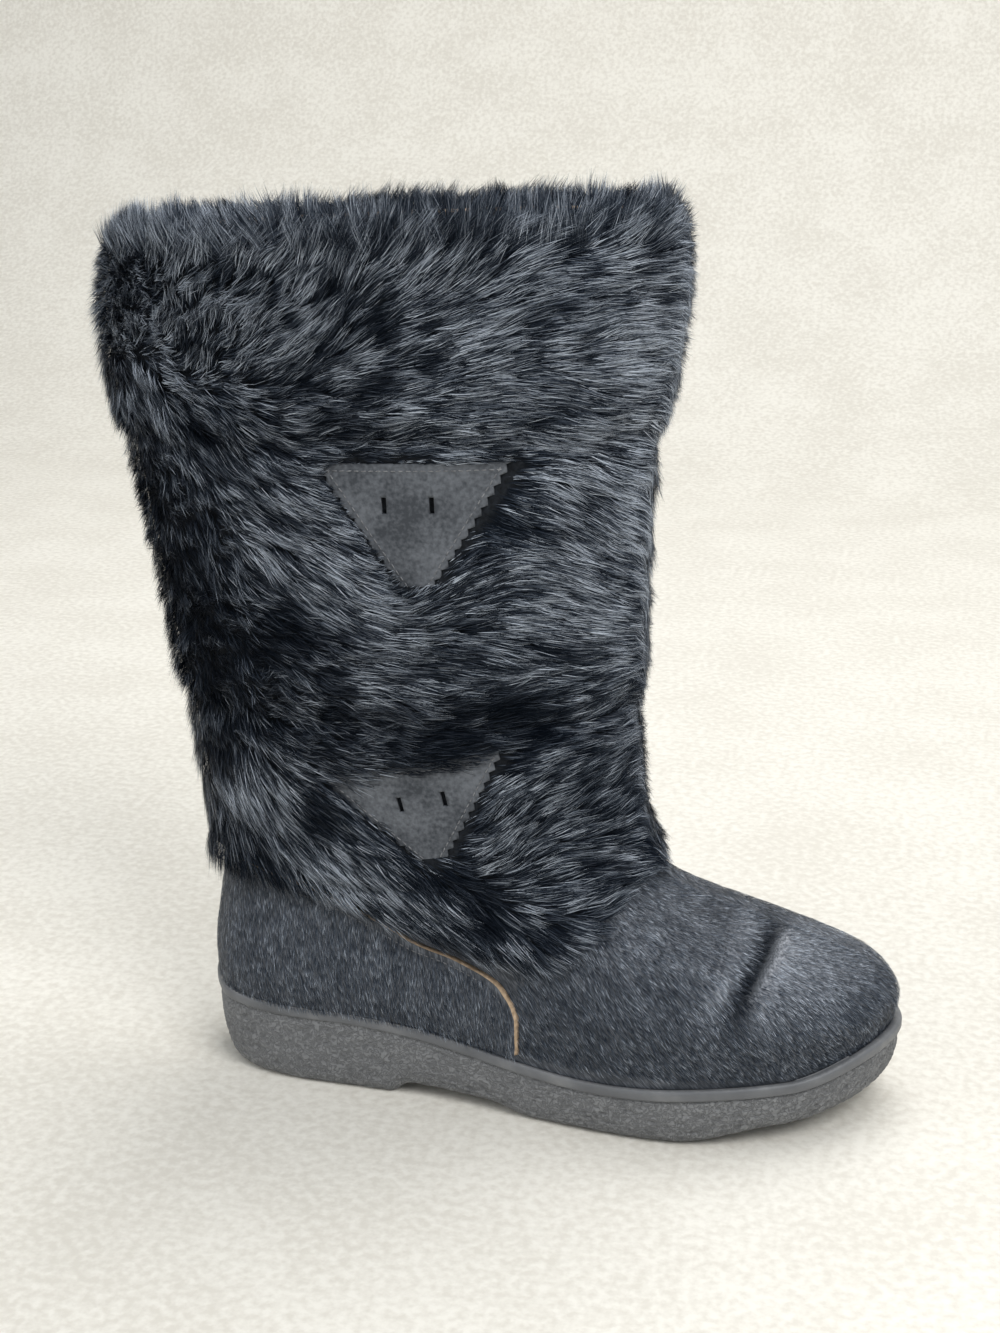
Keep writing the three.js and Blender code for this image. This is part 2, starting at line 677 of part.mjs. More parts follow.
const largest = (solid) =>
  solid.decompose().reduce((best, one) => (one.volume() > best.volume() ? one : best));

const boot = new THREE.Group();
boot.name = "mukluk_boot";
boot.add(piece("outsole", outsole(), rubber));
boot.add(piece("upper", upper(), hide));
boot.add(piece("insole", insole(), felt));
boot.add(piece("heel_counter", largest(heelCounter()), hide));
for (const [tier, solid] of Object.entries(furTiers())) {
  boot.add(piece(`fur_${tier}`, largest(solid), fur));
}
for (const patch of patches) boot.add(piece(patch.name, largest(patchSolid(patch)), suede));

// The middle of the heel's flat stands over the origin.
const heelMiddle = soleLength * 0.14;
boot.position.set(-heelMiddle, 0, 0);

export default boot;
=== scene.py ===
"""A right mukluk boot: short-haired black hide on a crepe rubber sole, with three tiers of long
fur round the shaft and two suede patches on its outer side. Sizes are in millimetres until a
mesh is made, and every mesh is in metres in the frame of the solids."""

import math

import bmesh
import bpy
import numpy as np
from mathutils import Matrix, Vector, noise


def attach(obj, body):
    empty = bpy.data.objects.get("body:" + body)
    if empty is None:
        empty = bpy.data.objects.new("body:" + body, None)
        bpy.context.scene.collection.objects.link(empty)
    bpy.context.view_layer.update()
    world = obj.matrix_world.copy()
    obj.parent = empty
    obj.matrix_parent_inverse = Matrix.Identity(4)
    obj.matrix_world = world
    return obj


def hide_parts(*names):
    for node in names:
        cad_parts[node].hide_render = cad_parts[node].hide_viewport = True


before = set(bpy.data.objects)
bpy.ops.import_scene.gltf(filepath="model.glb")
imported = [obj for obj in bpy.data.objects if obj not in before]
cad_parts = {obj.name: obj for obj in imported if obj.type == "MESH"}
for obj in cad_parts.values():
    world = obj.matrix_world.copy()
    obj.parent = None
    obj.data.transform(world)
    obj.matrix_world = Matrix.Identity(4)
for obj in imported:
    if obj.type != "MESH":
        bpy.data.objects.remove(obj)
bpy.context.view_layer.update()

# The studio: a pale felt-coloured floor that sweeps up behind the boot, soft light from the front,
# the right and above, and a camera at the photograph's angle, aimed at this one boot.
MM = 0.001
FLOOR_DEPTH, FLOOR_WIDTH, SWEEP_RADIUS, SWEEP_HEIGHT = 1900, 2600, 700, 1800
CAMERA_PLACE = (0.2548, -0.7321, 0.4195)
CAMERA_AIM = (0.0815, -0.009, 0.1716)
CAMERA_LENS, CAMERA_NEAR = 56.7, 0.01
SKY_COLOUR, SKY_STRENGTH = (0.90, 0.95, 1.0, 1), 0.55
# Name, place, size and power of each lamp.
LAMPS = (("key", (1.0, -0.9, 1.5), 0.9, 20), ("fill", (-1.3, -1.0, 0.9), 1.6, 9),
         ("top", (0.3, 0.6, 1.7), 1.2, 19))


def graph(tree):
    """A way to add a node with its inputs set or linked, by name or number."""

    def add(kind, inputs=None, **settings):
        node = tree.nodes.new(kind)
        for key, value in settings.items():
            setattr(node, key, value)
        for key, value in (inputs or {}).items():
            if isinstance(value, bpy.types.NodeSocket):
                tree.links.new(value, node.inputs[key])
            else:
                node.inputs[key].default_value = value
        return node

    return add


class Finish:
    """A material with one Principled surface, and short ways to add the nodes that shape it."""

    def __init__(self, name, **surface):
        self.material = bpy.data.materials.new(name)
        self.material.use_nodes = True
        self.add = graph(self.material.node_tree)
        self.surface = self.material.node_tree.nodes["Principled BSDF"].inputs
        for key, value in surface.items():
            self.surface[key.replace("_", " ")].default_value = value

    def place(self):
        """Coordinates fixed to the piece, in metres."""
        return self.add("ShaderNodeTexCoord").outputs["Object"]

    def noise(self, scale, detail, place=None, distortion=0.0):
        values = {"Vector": place or self.place(), "Scale": scale, "Detail": detail,
                  "Distortion": distortion}
        return self.add("ShaderNodeTexNoise", values).outputs["Fac"]

    def noted(self, name, kind="Fac"):
        """What note() wrote at the points of a piece."""
        return self.add("ShaderNodeAttribute", attribute_name=name).outputs[kind]

    def reckon(self, operation, *values):
        return self.add("ShaderNodeMath", dict(enumerate(values)), operation=operation).outputs[0]

    def ramp(self, value, *stops):
        """A colour ramp: stops are (place, grey or colour)."""
        node = self.add("ShaderNodeValToRGB", {"Fac": value})
        elements = node.color_ramp.elements
        while len(elements) < len(stops):
            elements.new(0.5)
        for element, (place, colour) in zip(elements, stops):
            element.position = place
            element.color = (colour,) * 3 + (1,) if isinstance(colour, float) else (*colour, 1)
        return node.outputs["Color"]

    def blend(self, share, first, second):
        """A colour between two."""
        values = {0: share, 6: first, 7: second}
        return self.add("ShaderNodeMix", values, data_type="RGBA").outputs[2]

    def lead(self, socket, name="Base Color"):
        self.material.node_tree.links.new(socket, self.surface[name])

    def emboss(self, height, strength, distance, under=None):
        """Relief without geometry, over the relief under it."""
        values = {"Height": height, "Strength": strength, "Distance": distance}
        if under is not None:
            values["Normal"] = under
        normal = self.add("ShaderNodeBump", values).outputs["Normal"]
        self.lead(normal, "Normal")
        return normal


def mesh_object(name, points, faces, finishes=()):
    """An object from points in millimetres."""
    mesh = bpy.data.meshes.new(name)
    mesh.from_pydata((np.asarray(points, float).reshape(-1, 3) * MM).tolist(), [], faces)
    mesh.polygons.foreach_set("use_smooth", [True] * len(mesh.polygons))
    for finish in finishes:
        mesh.materials.append(finish.material)
    made = bpy.data.objects.new(name, mesh)
    bpy.context.scene.collection.objects.link(made)
    return made


felt_floor = Finish("felt_floor", Roughness=0.95)
fibres, clouds = felt_floor.noise(260, 6), felt_floor.noise(14, 8)
mixed = felt_floor.reckon("MULTIPLY_ADD", clouds, 0.3, felt_floor.reckon("MULTIPLY", fibres, 0.7))
felt_floor.lead(felt_floor.ramp(mixed, (0.40, (0.655, 0.62, 0.55)), (0.6, (0.765, 0.735, 0.665))))
felt_floor.emboss(fibres, 0.25, 0.001)

FLOOR_DROP, SWEEP_STEPS = 0.2, 16
sweep = [(-FLOOR_DEPTH, 0), (FLOOR_DEPTH / 2, 0)]
for angle in np.linspace(0, math.pi / 2, SWEEP_STEPS + 1)[1:]:
    sweep.append((FLOOR_DEPTH / 2 + SWEEP_RADIUS * math.sin(angle),
                  SWEEP_RADIUS * (1 - math.cos(angle))))
sweep.append((FLOOR_DEPTH / 2 + SWEEP_RADIUS, SWEEP_HEIGHT))
rows = [[(side * FLOOR_WIDTH, y, z - FLOOR_DROP) for side in (-1, 1)] for y, z in sweep]
floor_faces = [(2 * i, 2 * i + 1, 2 * i + 3, 2 * i + 2) for i in range(len(rows) - 1)]
mesh_object("floor", rows, floor_faces, [felt_floor])


def aimed(name, data, spot):
    """A camera or lamp at a spot, turned to the boot."""
    made = bpy.data.objects.new(name, data)
    bpy.context.scene.collection.objects.link(made)
    made.location = spot
    toward = Vector(CAMERA_AIM) - Vector(spot)
    made.rotation_euler = toward.to_track_quat("-Z", "Y").to_euler()
    return made


camera = aimed("camera", bpy.data.cameras.new("camera"), CAMERA_PLACE)
camera.data.lens = CAMERA_LENS
camera.data.clip_start = CAMERA_NEAR
bpy.context.scene.camera = camera

for name, spot, size, power in LAMPS:
    lamp = aimed(name, bpy.data.lights.new(name, "AREA"), spot)
    lamp.data.size, lamp.data.energy = size, power
world = bpy.data.worlds.new("studio")
world.use_nodes = True
sky = world.node_tree.nodes["Background"].inputs
sky["Color"].default_value, sky["Strength"].default_value = SKY_COLOUR, SKY_STRENGTH
bpy.context.scene.world = world
bpy.context.scene.view_settings.view_transform = "Standard"


# The last: the form that hide and sole are pulled over, as a plan of the sole and rings of the
# foot and shaft. Every piece of the boot lies on it or a little outside it.
SOLE_LENGTH, HEEL_WIDTH, WAIST_WIDTH, BALL_WIDTH, TOE_SWING = 275, 69, 66, 94, 11.5
HEEL_HEIGHT, BALL_HEIGHT, TOE_HEIGHT, TOE_SPRING, ARCH_RISE = 33.5, 22.5, 34.2, 11, 4.6
FOOT_HEIGHT, SHAFT_HEIGHT, SHAFT_LENGTH, SHAFT_WIDTH, SHAFT_LEAN = 106, 232, 172, 90, 3
SEAT_DEPTH, GAP, OVAL_POWER = 4, 0.3, 2.2
HEEL_MIDDLE = SOLE_LENGTH * 0.14
# Share along the sole, share of a width, that width, and share of the toe's swing.
PLAN = np.array([
    (0.0, 0.0, HEEL_WIDTH, 0.0), (0.028, 0.294, HEEL_WIDTH, 0.0),
    (0.07, 0.434, HEEL_WIDTH, 0.0), (0.14, 0.496, HEEL_WIDTH, -0.04),
    (0.246, 0.49, HEEL_WIDTH, -0.16), (0.368, 0.5, WAIST_WIDTH, -0.35),
    (0.49, 0.395, BALL_WIDTH, -0.46), (0.6, 0.452, BALL_WIDTH, -0.41),
    (0.684, 0.493, BALL_WIDTH, -0.25), (0.754, 0.5, BALL_WIDTH, -0.06),
    (0.825, 0.478, BALL_WIDTH, 0.19), (0.895, 0.41, BALL_WIDTH, 0.5),
    (0.947, 0.31, BALL_WIDTH, 0.75), (0.982, 0.185, BALL_WIDTH, 0.96),
    (1.0, 0.0, BALL_WIDTH, 1.0),
])
LIP = np.array([(0.0, HEEL_HEIGHT * 1.02), (0.21, HEEL_HEIGHT), (0.6, BALL_HEIGHT),
                (0.86, BALL_HEIGHT * 1.19), (1.0, TOE_HEIGHT)])
GROUND = np.array([(0.285, 0), (0.315, ARCH_RISE), (0.44, ARCH_RISE * 0.8), (0.505, 0),
                   (0.72, 0), (0.86, TOE_SPRING * 0.6), (1.0, TOE_SPRING)])
# Rings from the sole up: back, front, height at the back and at the front, half width, and how
# far the ring keeps the sole's outline over an oval.
FOOT_RINGS = np.array([
    (0.0145, 0.981, 0.0, 0.0, 0.468, 1.0), (0.011, 0.991, 0.415, 0.388, 0.48, 1.0),
    (0.013, 0.986, 0.51, 0.452, 0.466, 0.99), (0.018, 0.96, 0.594, 0.52, 0.44, 0.95),
    (0.022, 0.912, 0.67, 0.575, 0.414, 0.87), (0.0255, 0.846, 0.736, 0.635, 0.393, 0.77),
    (0.027, 0.768, 0.802, 0.695, 0.38, 0.64), (0.027, 0.692, 0.877, 0.77, 0.38, 0.5),
    (0.0255, 0.643, 0.953, 0.868, 0.39, 0.35), (0.022, 0.613, 1.047, 1.0, 0.405, 0.2),
])
SHAFT_RINGS = np.array([
    (0.023, 0.959, 0.078, 0.078, 0.444, 0.08), (0.0, 0.953, 0.172, 0.181, 0.467, 0.0),
    (-0.023, 0.953, 0.284, 0.297, 0.483, 0.0), (-0.047, 0.956, 0.405, 0.422, 0.494, 0.0),
    (-0.081, 0.965, 0.526, 0.547, 0.5, 0.0), (-0.116, 0.98, 0.642, 0.668, 0.5, 0.0),
    (-0.145, 1.006, 0.759, 0.789, 0.489, 0.0), (-0.151, 1.026, 0.862, 0.897, 0.472, 0.0),
    (-0.134, 1.023, 0.948, 1.0, 0.45, 0.0),
])
RINGS = np.vstack([
    FOOT_RINGS * (SOLE_LENGTH, SOLE_LENGTH, FOOT_HEIGHT, FOOT_HEIGHT, BALL_WIDTH, 1),
    SHAFT_RINGS * (SHAFT_LENGTH, SHAFT_LENGTH, SHAFT_HEIGHT, SHAFT_HEIGHT, SHAFT_WIDTH, 1)
    + (0, 0, FOOT_HEIGHT, FOOT_HEIGHT, 0, 0),
])
COLLAR = len(RINGS) - 1
STATIONS, HALVINGS = 17, 24
COLUMNS = 2 * STATIONS


def eased(table, along):
    """A height along the sole, eased between the table's rows."""
    along = np.clip(along, table[0, 0], table[-1, 0])
    i = np.clip(np.searchsorted(table[:, 0], along, side="right") - 1, 0, len(table) - 2)
    t = (along - table[i, 0]) / (table[i + 1, 0] - table[i, 0])
    return table[i, 1] + (table[i + 1, 1] - table[i, 1]) * t * t * (3 - 2 * t)


def curve_through(a, b, c, d, t):
    """The curve from b to c that follows on from a and goes on to d."""
    return 0.5 * (2 * b + (c - a) * t + (2 * a - 5 * b + 4 * c - d) * t * t
                  + (3 * b - a - 3 * c + d) * t ** 3)


def plan_at(s):
    """Share along, half width and swing at row s of the plan, round at both ends."""
    rows = np.column_stack([PLAN[:, 0], PLAN[:, 1] * PLAN[:, 2], PLAN[:, 3] * TOE_SWING])
    flip = np.array([1, -1, 1])
    rows = np.vstack([rows[1] * flip, rows, rows[-2] * flip])
    i = np.clip(np.floor(s).astype(int), 0, len(PLAN) - 2)
    t = (s - i)[..., None]
    return curve_through(*(rows[i + k] for k in range(4)), t)


def ring_point(ring, column):
    """Points of whole rings at any columns."""
    turned = np.mod(column, COLUMNS)
    side = np.where(turned <= STATIONS, -1, 1)
    station = np.where(turned <= STATIONS, turned, COLUMNS - turned)
    along, half, swing = np.moveaxis(plan_at(station * (len(PLAN) - 1) / STATIONS), -1, 0)
    back, front, back_z, front_z, wide, foot = np.moveaxis(RINGS[ring], -1, 0)
    reach = np.abs(2 * along - 1)
    oval = np.clip(1 - reach ** OVAL_POWER, 0, None) ** (1 / OVAL_POWER)
    outline = half / (BALL_WIDTH / 2)
    x = back + (front - back) * along - HEEL_MIDDLE
    y = SHAFT_LEAN + (swing - SHAFT_LEAN) * foot
    y = y + side * wide * (oval + (outline - oval) * foot)
    z = back_z + (front_z - back_z) * along
    z = np.where(ring == 0, eased(LIP, along) - SEAT_DEPTH + GAP, z)
    return np.stack([x, y, z], -1)


def on_last(ring, column, outside=0.0):
    """Points at any ring and column number, a given way outside the last."""
    ring, column, outside = np.broadcast_arrays(
        np.asarray(ring, float), np.asarray(column, float), np.asarray(outside, float))

    def bare(r, c):
        low = np.clip(np.floor(r).astype(int), 0, COLLAR - 1)
        t = (r - low)[..., None]
        b, d = ring_point(low, c), ring_point(low + 1, c)
        a = np.where((low > 0)[..., None], ring_point(np.maximum(low - 1, 0), c), 2 * b - d)
        e = np.where((low < COLLAR - 1)[..., None],
                     ring_point(np.minimum(low + 2, COLLAR), c), 2 * d - b)
        return curve_through(a, b, d, e, t)

    around = bare(ring, column + 0.1) - bare(ring, column - 0.1)
    low, high = np.clip(ring - 0.1, 0, COLLAR), np.clip(ring + 0.1, 0, COLLAR)
    up = bare(high, column) - bare(low, column)
    out = np.cross(around, up)
    out /= np.linalg.norm(out, axis=-1, keepdims=True)
    return bare(ring, column) + out * outside[..., None]


def frames(ring, column):
    """Unit vectors at places of the last: round towards the toe, up, and out."""
    ring, column = np.broadcast_arrays(np.asarray(ring, float), np.asarray(column, float))
    around = on_last(ring, column + 0.1) - on_last(ring, column - 0.1)
    around /= np.linalg.norm(around, axis=-1, keepdims=True)
    low, high = np.clip(ring - 0.1, 0, COLLAR), np.clip(ring + 0.1, 0, COLLAR)
    up = on_last(high, column) - on_last(low, column)
    up -= around * np.sum(up * around, -1, keepdims=True)
    up /= np.linalg.norm(up, axis=-1, keepdims=True)
    forward = np.where((np.mod(column, COLUMNS) <= STATIONS)[..., None], around, -around)
    return forward, up, np.cross(around, up)


def waves(points, scale, seed=0.0):
    """Smooth noise from -1 to 1 at points, with bumps about scale millimetres wide."""
    flat = np.asarray(points, float).reshape(-1, 3) / scale + seed * 17.3
    found = np.array([noise.noise(p, noise_basis="PERLIN_ORIGINAL") for p in flat.tolist()])
    return found.reshape(np.shape(points)[:-1])


def quads(count, width, join_rows=False, join_columns=True):
    """The faces of a grid of points, whose last row or column may join the first."""
    row = np.arange(count if join_rows else count - 1)[:, None]
    column = np.arange(width if join_columns else width - 1)
    low, up, right = row * width, (row + 1) % count * width, (column + 1) % width
    faces = np.stack([low + column, low + right, up + right, up + column], -1)
    return faces.reshape(-1, 4).tolist()


def loft(name, rows, finishes, closed=False, kinds=None):
    """Rows of points, each a closed loop, skinned with quads. closed joins the last row to the
    first, and kinds gives each band of faces its finish."""
    rows = np.asarray(rows, float)
    count, width = rows.shape[:2]
    made = mesh_object(name, rows, quads(count, width, closed), finishes)
    if kinds is not None:
        made.data.polygons.foreach_set("material_index", np.repeat(kinds, width))
    return made


def faced_out(piece, merge=0.0):
    """Turns the faces of a closed piece outwards, once points nearer than merge are joined."""
    work = bmesh.new()
    work.from_mesh(piece.data)
    if merge:
        bmesh.ops.remove_doubles(work, verts=work.verts, dist=merge * MM)
    bmesh.ops.recalc_face_normals(work, faces=work.faces)
    work.to_mesh(piece.data)
    work.free()


def ring_where(below, low, high, shape):
    """The ring up to which below(ring) holds at each place, found by halving."""
    low, high = np.full(shape, low), np.full(shape, high)
    for _ in range(HALVINGS):
        middle = (low + high) / 2
        under = below(middle)
        low, high = np.where(under, middle, low), np.where(under, high, middle)
    return low


def note(piece, name, values):
    """Writes one value or one vector at each point of a piece."""
    values = np.asarray(values, float)
    vector = values.ndim > 1 and values.shape[-1] == 3
    kind = "FLOAT_VECTOR" if vector else "FLOAT"
    layer = piece.data.attributes.new(name, kind, "POINT")
    layer.data.foreach_set("vector" if vector else "value", values.ravel())


def fitted(piece, slot, *nodes):
    """The piece rides on the boot and stands for its solids; slot is not used."""
    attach(piece, "root")
    if nodes:
        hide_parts(*nodes)


# The outsole: one moulding of dark crepe rubber, wrinkled on its side, with a smooth bead round
# its top edge and a fine groove under the bead, a stepped heel and a flat forefoot.
BEAD_HEIGHT, BEAD_STEP, TREAD_INSET, END_ROLL = 4.2, 0.9, 7.5, 0.6
CREPE_DEPTH, GROOVE_DEPTH, SEAT_ROOM = 0.42, 0.55, 0.4
SOLE_POINTS, TREAD_STRIPS = 280, 22

rubber = Finish("crepe_rubber", Roughness=0.7, Specular_IOR_Level=0.3)
from_middle = rubber.reckon("SUBTRACT", rubber.noise(480, 3, distortion=1.0), 0.5)
wrinkles = rubber.reckon("MULTIPLY", rubber.reckon("ABSOLUTE", from_middle), 12.0)
wrinkles = rubber.reckon("MINIMUM", wrinkles, 1.0)
# Painted shade: the crepe is painted darker in the dips of its relief, over a random tone.
shade = rubber.reckon("ADD", rubber.noted("hollow"), rubber.noise(45, 6))
tint = rubber.ramp(shade, (0.2, (0.212, 0.216, 0.221)), (0.5, (0.188, 0.192, 0.197)),
                   (0.9, (0.135, 0.138, 0.143)))
# Painted shade: the crepe is painted darker along the grooves of its wrinkles.
rubber.lead(rubber.blend(wrinkles, (0.152, 0.155, 0.160, 1), tint))
rubber.emboss(rubber.noise(900, 4), 0.3, 0.0003, under=rubber.emboss(wrinkles, 0.8, 0.0005))

bead_rubber = Finish("bead_rubber", Roughness=0.5, Specular_IOR_Level=0.5)
rubbed = bead_rubber.noise(70, 9)
tint = bead_rubber.ramp(rubbed, (0.3, (0.095, 0.099, 0.106)), (0.55, (0.125, 0.130, 0.138)),
                        (0.75, (0.185, 0.188, 0.192)))
lint = bead_rubber.ramp(bead_rubber.noise(420, 6), (0.42, 0.0), (0.7, 0.8))
lint = bead_rubber.reckon("MULTIPLY", lint, bead_rubber.noted("hollow"))
bead_rubber.lead(bead_rubber.blend(lint, tint, (0.40, 0.38, 0.345, 1)))
bead_rubber.emboss(rubbed, 0.2, 0.0004)

sole_turn = np.linspace(0, 2, 2 * SOLE_POINTS, endpoint=False)
sole_side = np.where(sole_turn <= 1, -1, 1)
sole_plan = plan_at(np.where(sole_turn <= 1, sole_turn, 2 - sole_turn) * (len(PLAN) - 1))


def sole_row(inset, height):
    """A row round the sole, drawn in from the bead's edge, and further in at heel and toe."""
    along, half, swing = sole_plan.T
    drawn = inset * (1 + END_ROLL * np.abs(2 * along - 1) ** 6)
    x = SOLE_LENGTH * along + drawn * (1 - 2 * along) - HEEL_MIDDLE
    y = swing + sole_side * half * (1 - 2 * inset / BALL_WIDTH)
    return np.stack([x, y, height], -1)


lip_line, ground_line = eased(LIP, sole_plan[:, 0]), eased(GROUND, sole_plan[:, 0])
wall_top = lip_line - BEAD_HEIGHT
# Share of the wall's height, and how far the wall is drawn in there.
wall_shape = [(0.0, TREAD_INSET), (0.02, TREAD_INSET * 0.78), (0.07, TREAD_INSET * 0.56),
              (0.15, TREAD_INSET * 0.4), (0.26, TREAD_INSET * 0.3), (0.42, TREAD_INSET * 0.2),
              (0.6, BEAD_STEP + 0.2), (0.8, BEAD_STEP), (0.93, BEAD_STEP),
              (0.975, BEAD_STEP + GROOVE_DEPTH), (1.0, BEAD_STEP + GROOVE_DEPTH)]
share_at = np.concatenate([np.linspace(0, 0.93, 34), [0.95, 0.975, 1.0]])
inset_at = np.interp(share_at, *np.array(wall_shape).T)
sole_rows = [sole_row(i, ground_line + (wall_top - ground_line) * s)
             for s, i in zip(share_at, inset_at)]
wall_rows = len(sole_rows)
# How far the bead is drawn in, and how far down it that is.
bead_shape = [(BEAD_STEP * 0.5, 1.0), (0.12, 0.93), (0.0, 0.8), (0.0, 0.5), (0.0, 0.26),
              (0.2, 0.12), (0.55, 0.03), (1.0, 0.0), (1.8, 0.02), (2.8, 0.1)]
sole_rows += [sole_row(inset, lip_line - BEAD_HEIGHT * drop) for inset, drop in bead_shape]
for ring, drop in ((0.3, 0.5), (0.0, SEAT_DEPTH)):
    seat = on_last(ring, sole_turn * STATIONS, SEAT_ROOM)
    seat[:, 2] = lip_line - drop
    sole_rows.append(seat)
sole_rows = np.array(sole_rows)

# Crepe: a crumpled relief on the wall, which dies out at the groove.
outward = np.stack([np.gradient(sole_rows[0][:, 1]), -np.gradient(sole_rows[0][:, 0])], -1)
outward /= np.linalg.norm(outward, axis=-1, keepdims=True)
hollow = np.zeros(sole_rows.shape[:2])
for i in range(wall_rows):
    fade = min(1, (0.965 - share_at[i]) * 14) if share_at[i] < 0.965 else 0
    stretched = sole_rows[i] * (1, 1, 1.35)
    crumple = np.abs(waves(stretched, 2.6)) + 0.6 * np.abs(waves(stretched, 1.3, 1))
    relief = (0.42 - crumple) * fade
    sole_rows[i][:, :2] += outward * (CREPE_DEPTH * 2 * relief)[:, None]
    # How deep each dip is; the rubber paints the dips darker as painted shade.
    hollow[i] = -relief
count, width = sole_rows.shape[:2]
outsole_points, flat_faces = [sole_rows.reshape(-1, 3)], []


def across(row, flip):
    """Strips across the sole between the two sides of one row of points."""
    outward_side = np.arange(SOLE_POINTS + 1)
    inward_side = -outward_side % width
    index = np.zeros((SOLE_POINTS + 1, TREAD_STRIPS + 1), int)
    index[:, 0], index[:, -1] = row * width + outward_side, row * width + inward_side
    index[[0, -1], :] = index[[0, -1], :1]
    share = np.arange(1, TREAD_STRIPS)[:, None] / TREAD_STRIPS
    first = sum(len(points) for points in outsole_points)
    index[1:-1, 1:-1] = first + np.arange((SOLE_POINTS - 1) * len(share)).reshape(-1, len(share))
    outer = sole_rows[row][outward_side[1:-1], None]
    inner = sole_rows[row][inward_side[1:-1], None]
    outsole_points.append((outer + (inner - outer) * share).reshape(-1, 3))
    flat = index.ravel()
    for face in quads(*index.shape, join_columns=False):
        corners = list(dict.fromkeys(flat[face[::-1] if not flip else face].tolist()))
        if len(corners) > 2:
            flat_faces.append(corners)


across(0, True)
across(count - 1, False)
outsole = mesh_object("outsole_moulding", np.vstack(outsole_points),
                      quads(count, width) + flat_faces, [rubber, bead_rubber])
kinds = np.zeros(len(outsole.data.polygons), int)
kinds[(wall_rows - 1) * width:(count - 1) * width] = 1
outsole.data.polygons.foreach_set("material_index", kinds)
# Lint gathers on the bead, most of it at the heel.
hollow[wall_rows + 6:] = np.clip((90 - sole_rows[0][:, 0]) / 40, 0.15, 1)
shades_and_lint = np.zeros(len(outsole.data.vertices))
shades_and_lint[: count * width] = hollow.ravel()
note(outsole, "hollow", shades_and_lint)
fitted(outsole, "sole_rubber", "outsole")


# The upper: a bag of short-haired black hide from the sole to the collar, lined with dark pelt
# side leather whose colour is also painted shade for the inside of the boot, its raw cream edge
# left bare at the collar. It creases where the toes bend.
WALL, CREASE_DEPTH, CREASE_WIDTH = 2.6, 4.0, 4.2
UPPER_COLUMNS, ANKLE = 210, 9

hide = Finish("hide_skin", Roughness=0.55)
nap = hide.noise(1, 4, hide.noted("comb", "Vector"))
# The hide's colour is scaled by a note that paints a highlight over the toes and beside the crease
# and painted shade in the crease on the foot, and that is only a random tone on the counter.
shade = hide.reckon("MULTIPLY", nap, hide.noted("sheen"))
hide.lead(hide.ramp(shade, (0.0, (0.006, 0.008, 0.010)), (0.28, (0.050, 0.056, 0.066)),
                    (0.55, (0.18, 0.193, 0.218)), (1.0, (0.40, 0.415, 0.44))))
hide.lead(shade, "Specular IOR Level")
hide.emboss(nap, 0.4, 0.0005)

raw_edge = Finish("raw_hide_edge", Roughness=0.85)
fray = raw_edge.noise(500, 6)
raw_edge.lead(raw_edge.ramp(fray, (0.3, (0.22, 0.15, 0.09)), (0.6, (0.48, 0.35, 0.23)),
                            (0.8, (0.62, 0.5, 0.36))))
raw_edge.emboss(fray, 0.5, 0.0006)

lining = Finish("lining_leather", Roughness=0.75, Specular_IOR_Level=0.3)
values = {"Vector": lining.place(), "Scale": 700}
pores = lining.add("ShaderNodeTexVoronoi", values).outputs["Distance"]
worn = lining.noise(30, 7)
# Painted shade: the lining's dark brown also stands for the shade inside the boot, over the
# leather's own colour.
lining.lead(lining.ramp(worn, (0.3, (0.040, 0.034, 0.029)), (0.7, (0.085, 0.074, 0.063))))
lining.emboss(pores, 0.3, 0.0004)


def hill(values, width):
    """A smooth hill of height 1 round the value 0."""
    return np.exp(-(values / width) ** 2)


def past_crease(x, z):
    """How far a point lies past the bent line along which the toes crease."""
    return x - 177 - 9 * hill(z - 73, 12)


def foot_relief(points):
    """How far the hide of the foot swells or sinks: the crease of the bending toes, the softer
    folds beside it, and a slight unevenness."""
    x, y, z = np.moveaxis(points, -1, 0)
    off = past_crease(x, z)
    reach = np.clip((z - 54) / 14, 0, 1) * np.clip((20 - y) / 30, 0, 1)
    trough = -CREASE_DEPTH * hill(off, CREASE_WIDTH)
    ridges = 1.2 * hill(off - 10, 6) + hill(off + 10, 7)
    return (trough + ridges) * reach + 0.35 * waves(points, 22)


def swell(ring, column):
    """The relief at places of the last, which dies out at the sole."""
    return foot_relief(on_last(ring, column)) * np.minimum(1, ring / 1.5)


def foot_painted_light(points):
    """How bright the flat hair of the foot is painted: a painted highlight over the toes and
    beside the crease, and painted shade that makes it black in the crease."""
    x, y, z = np.moveaxis(points, -1, 0)
    off = past_crease(x, z)
    high = np.clip((z - 46) / 14, 0, 1) * np.clip((24 - y) / 24, 0, 1)
    toes = 0.34 * np.exp(-((x - 205) / 17) ** 2 - ((z - 62) / 13) ** 2)
    beside = 0.42 * hill(off - 9, 5) + 0.4 * hill(off + 9, 5)
    waist = 0.14 * np.exp(-((x - 140) / 22) ** 2 - ((z - 74) / 14) ** 2)
    pale = 0.6 + toes + beside * high + waist + 0.12 * waves(points, 14, 5)
    pale = pale + 0.1 * waves(points, 5, 6)
    return np.clip(pale * (1 - 0.98 * high * hill(off, CREASE_WIDTH)), 0.02, 1.7)


def streaks(points, angle):
    """Coordinates that run slowly along the hair and fast across it."""
    x, y, z = np.moveaxis(points, -1, 0)
    along = (x * np.sin(angle) - z * np.cos(angle)) / 4.0
    across = (x * np.cos(angle) + z * np.sin(angle)) / 0.55
    return np.stack([across, along, y / 1.2], -1)


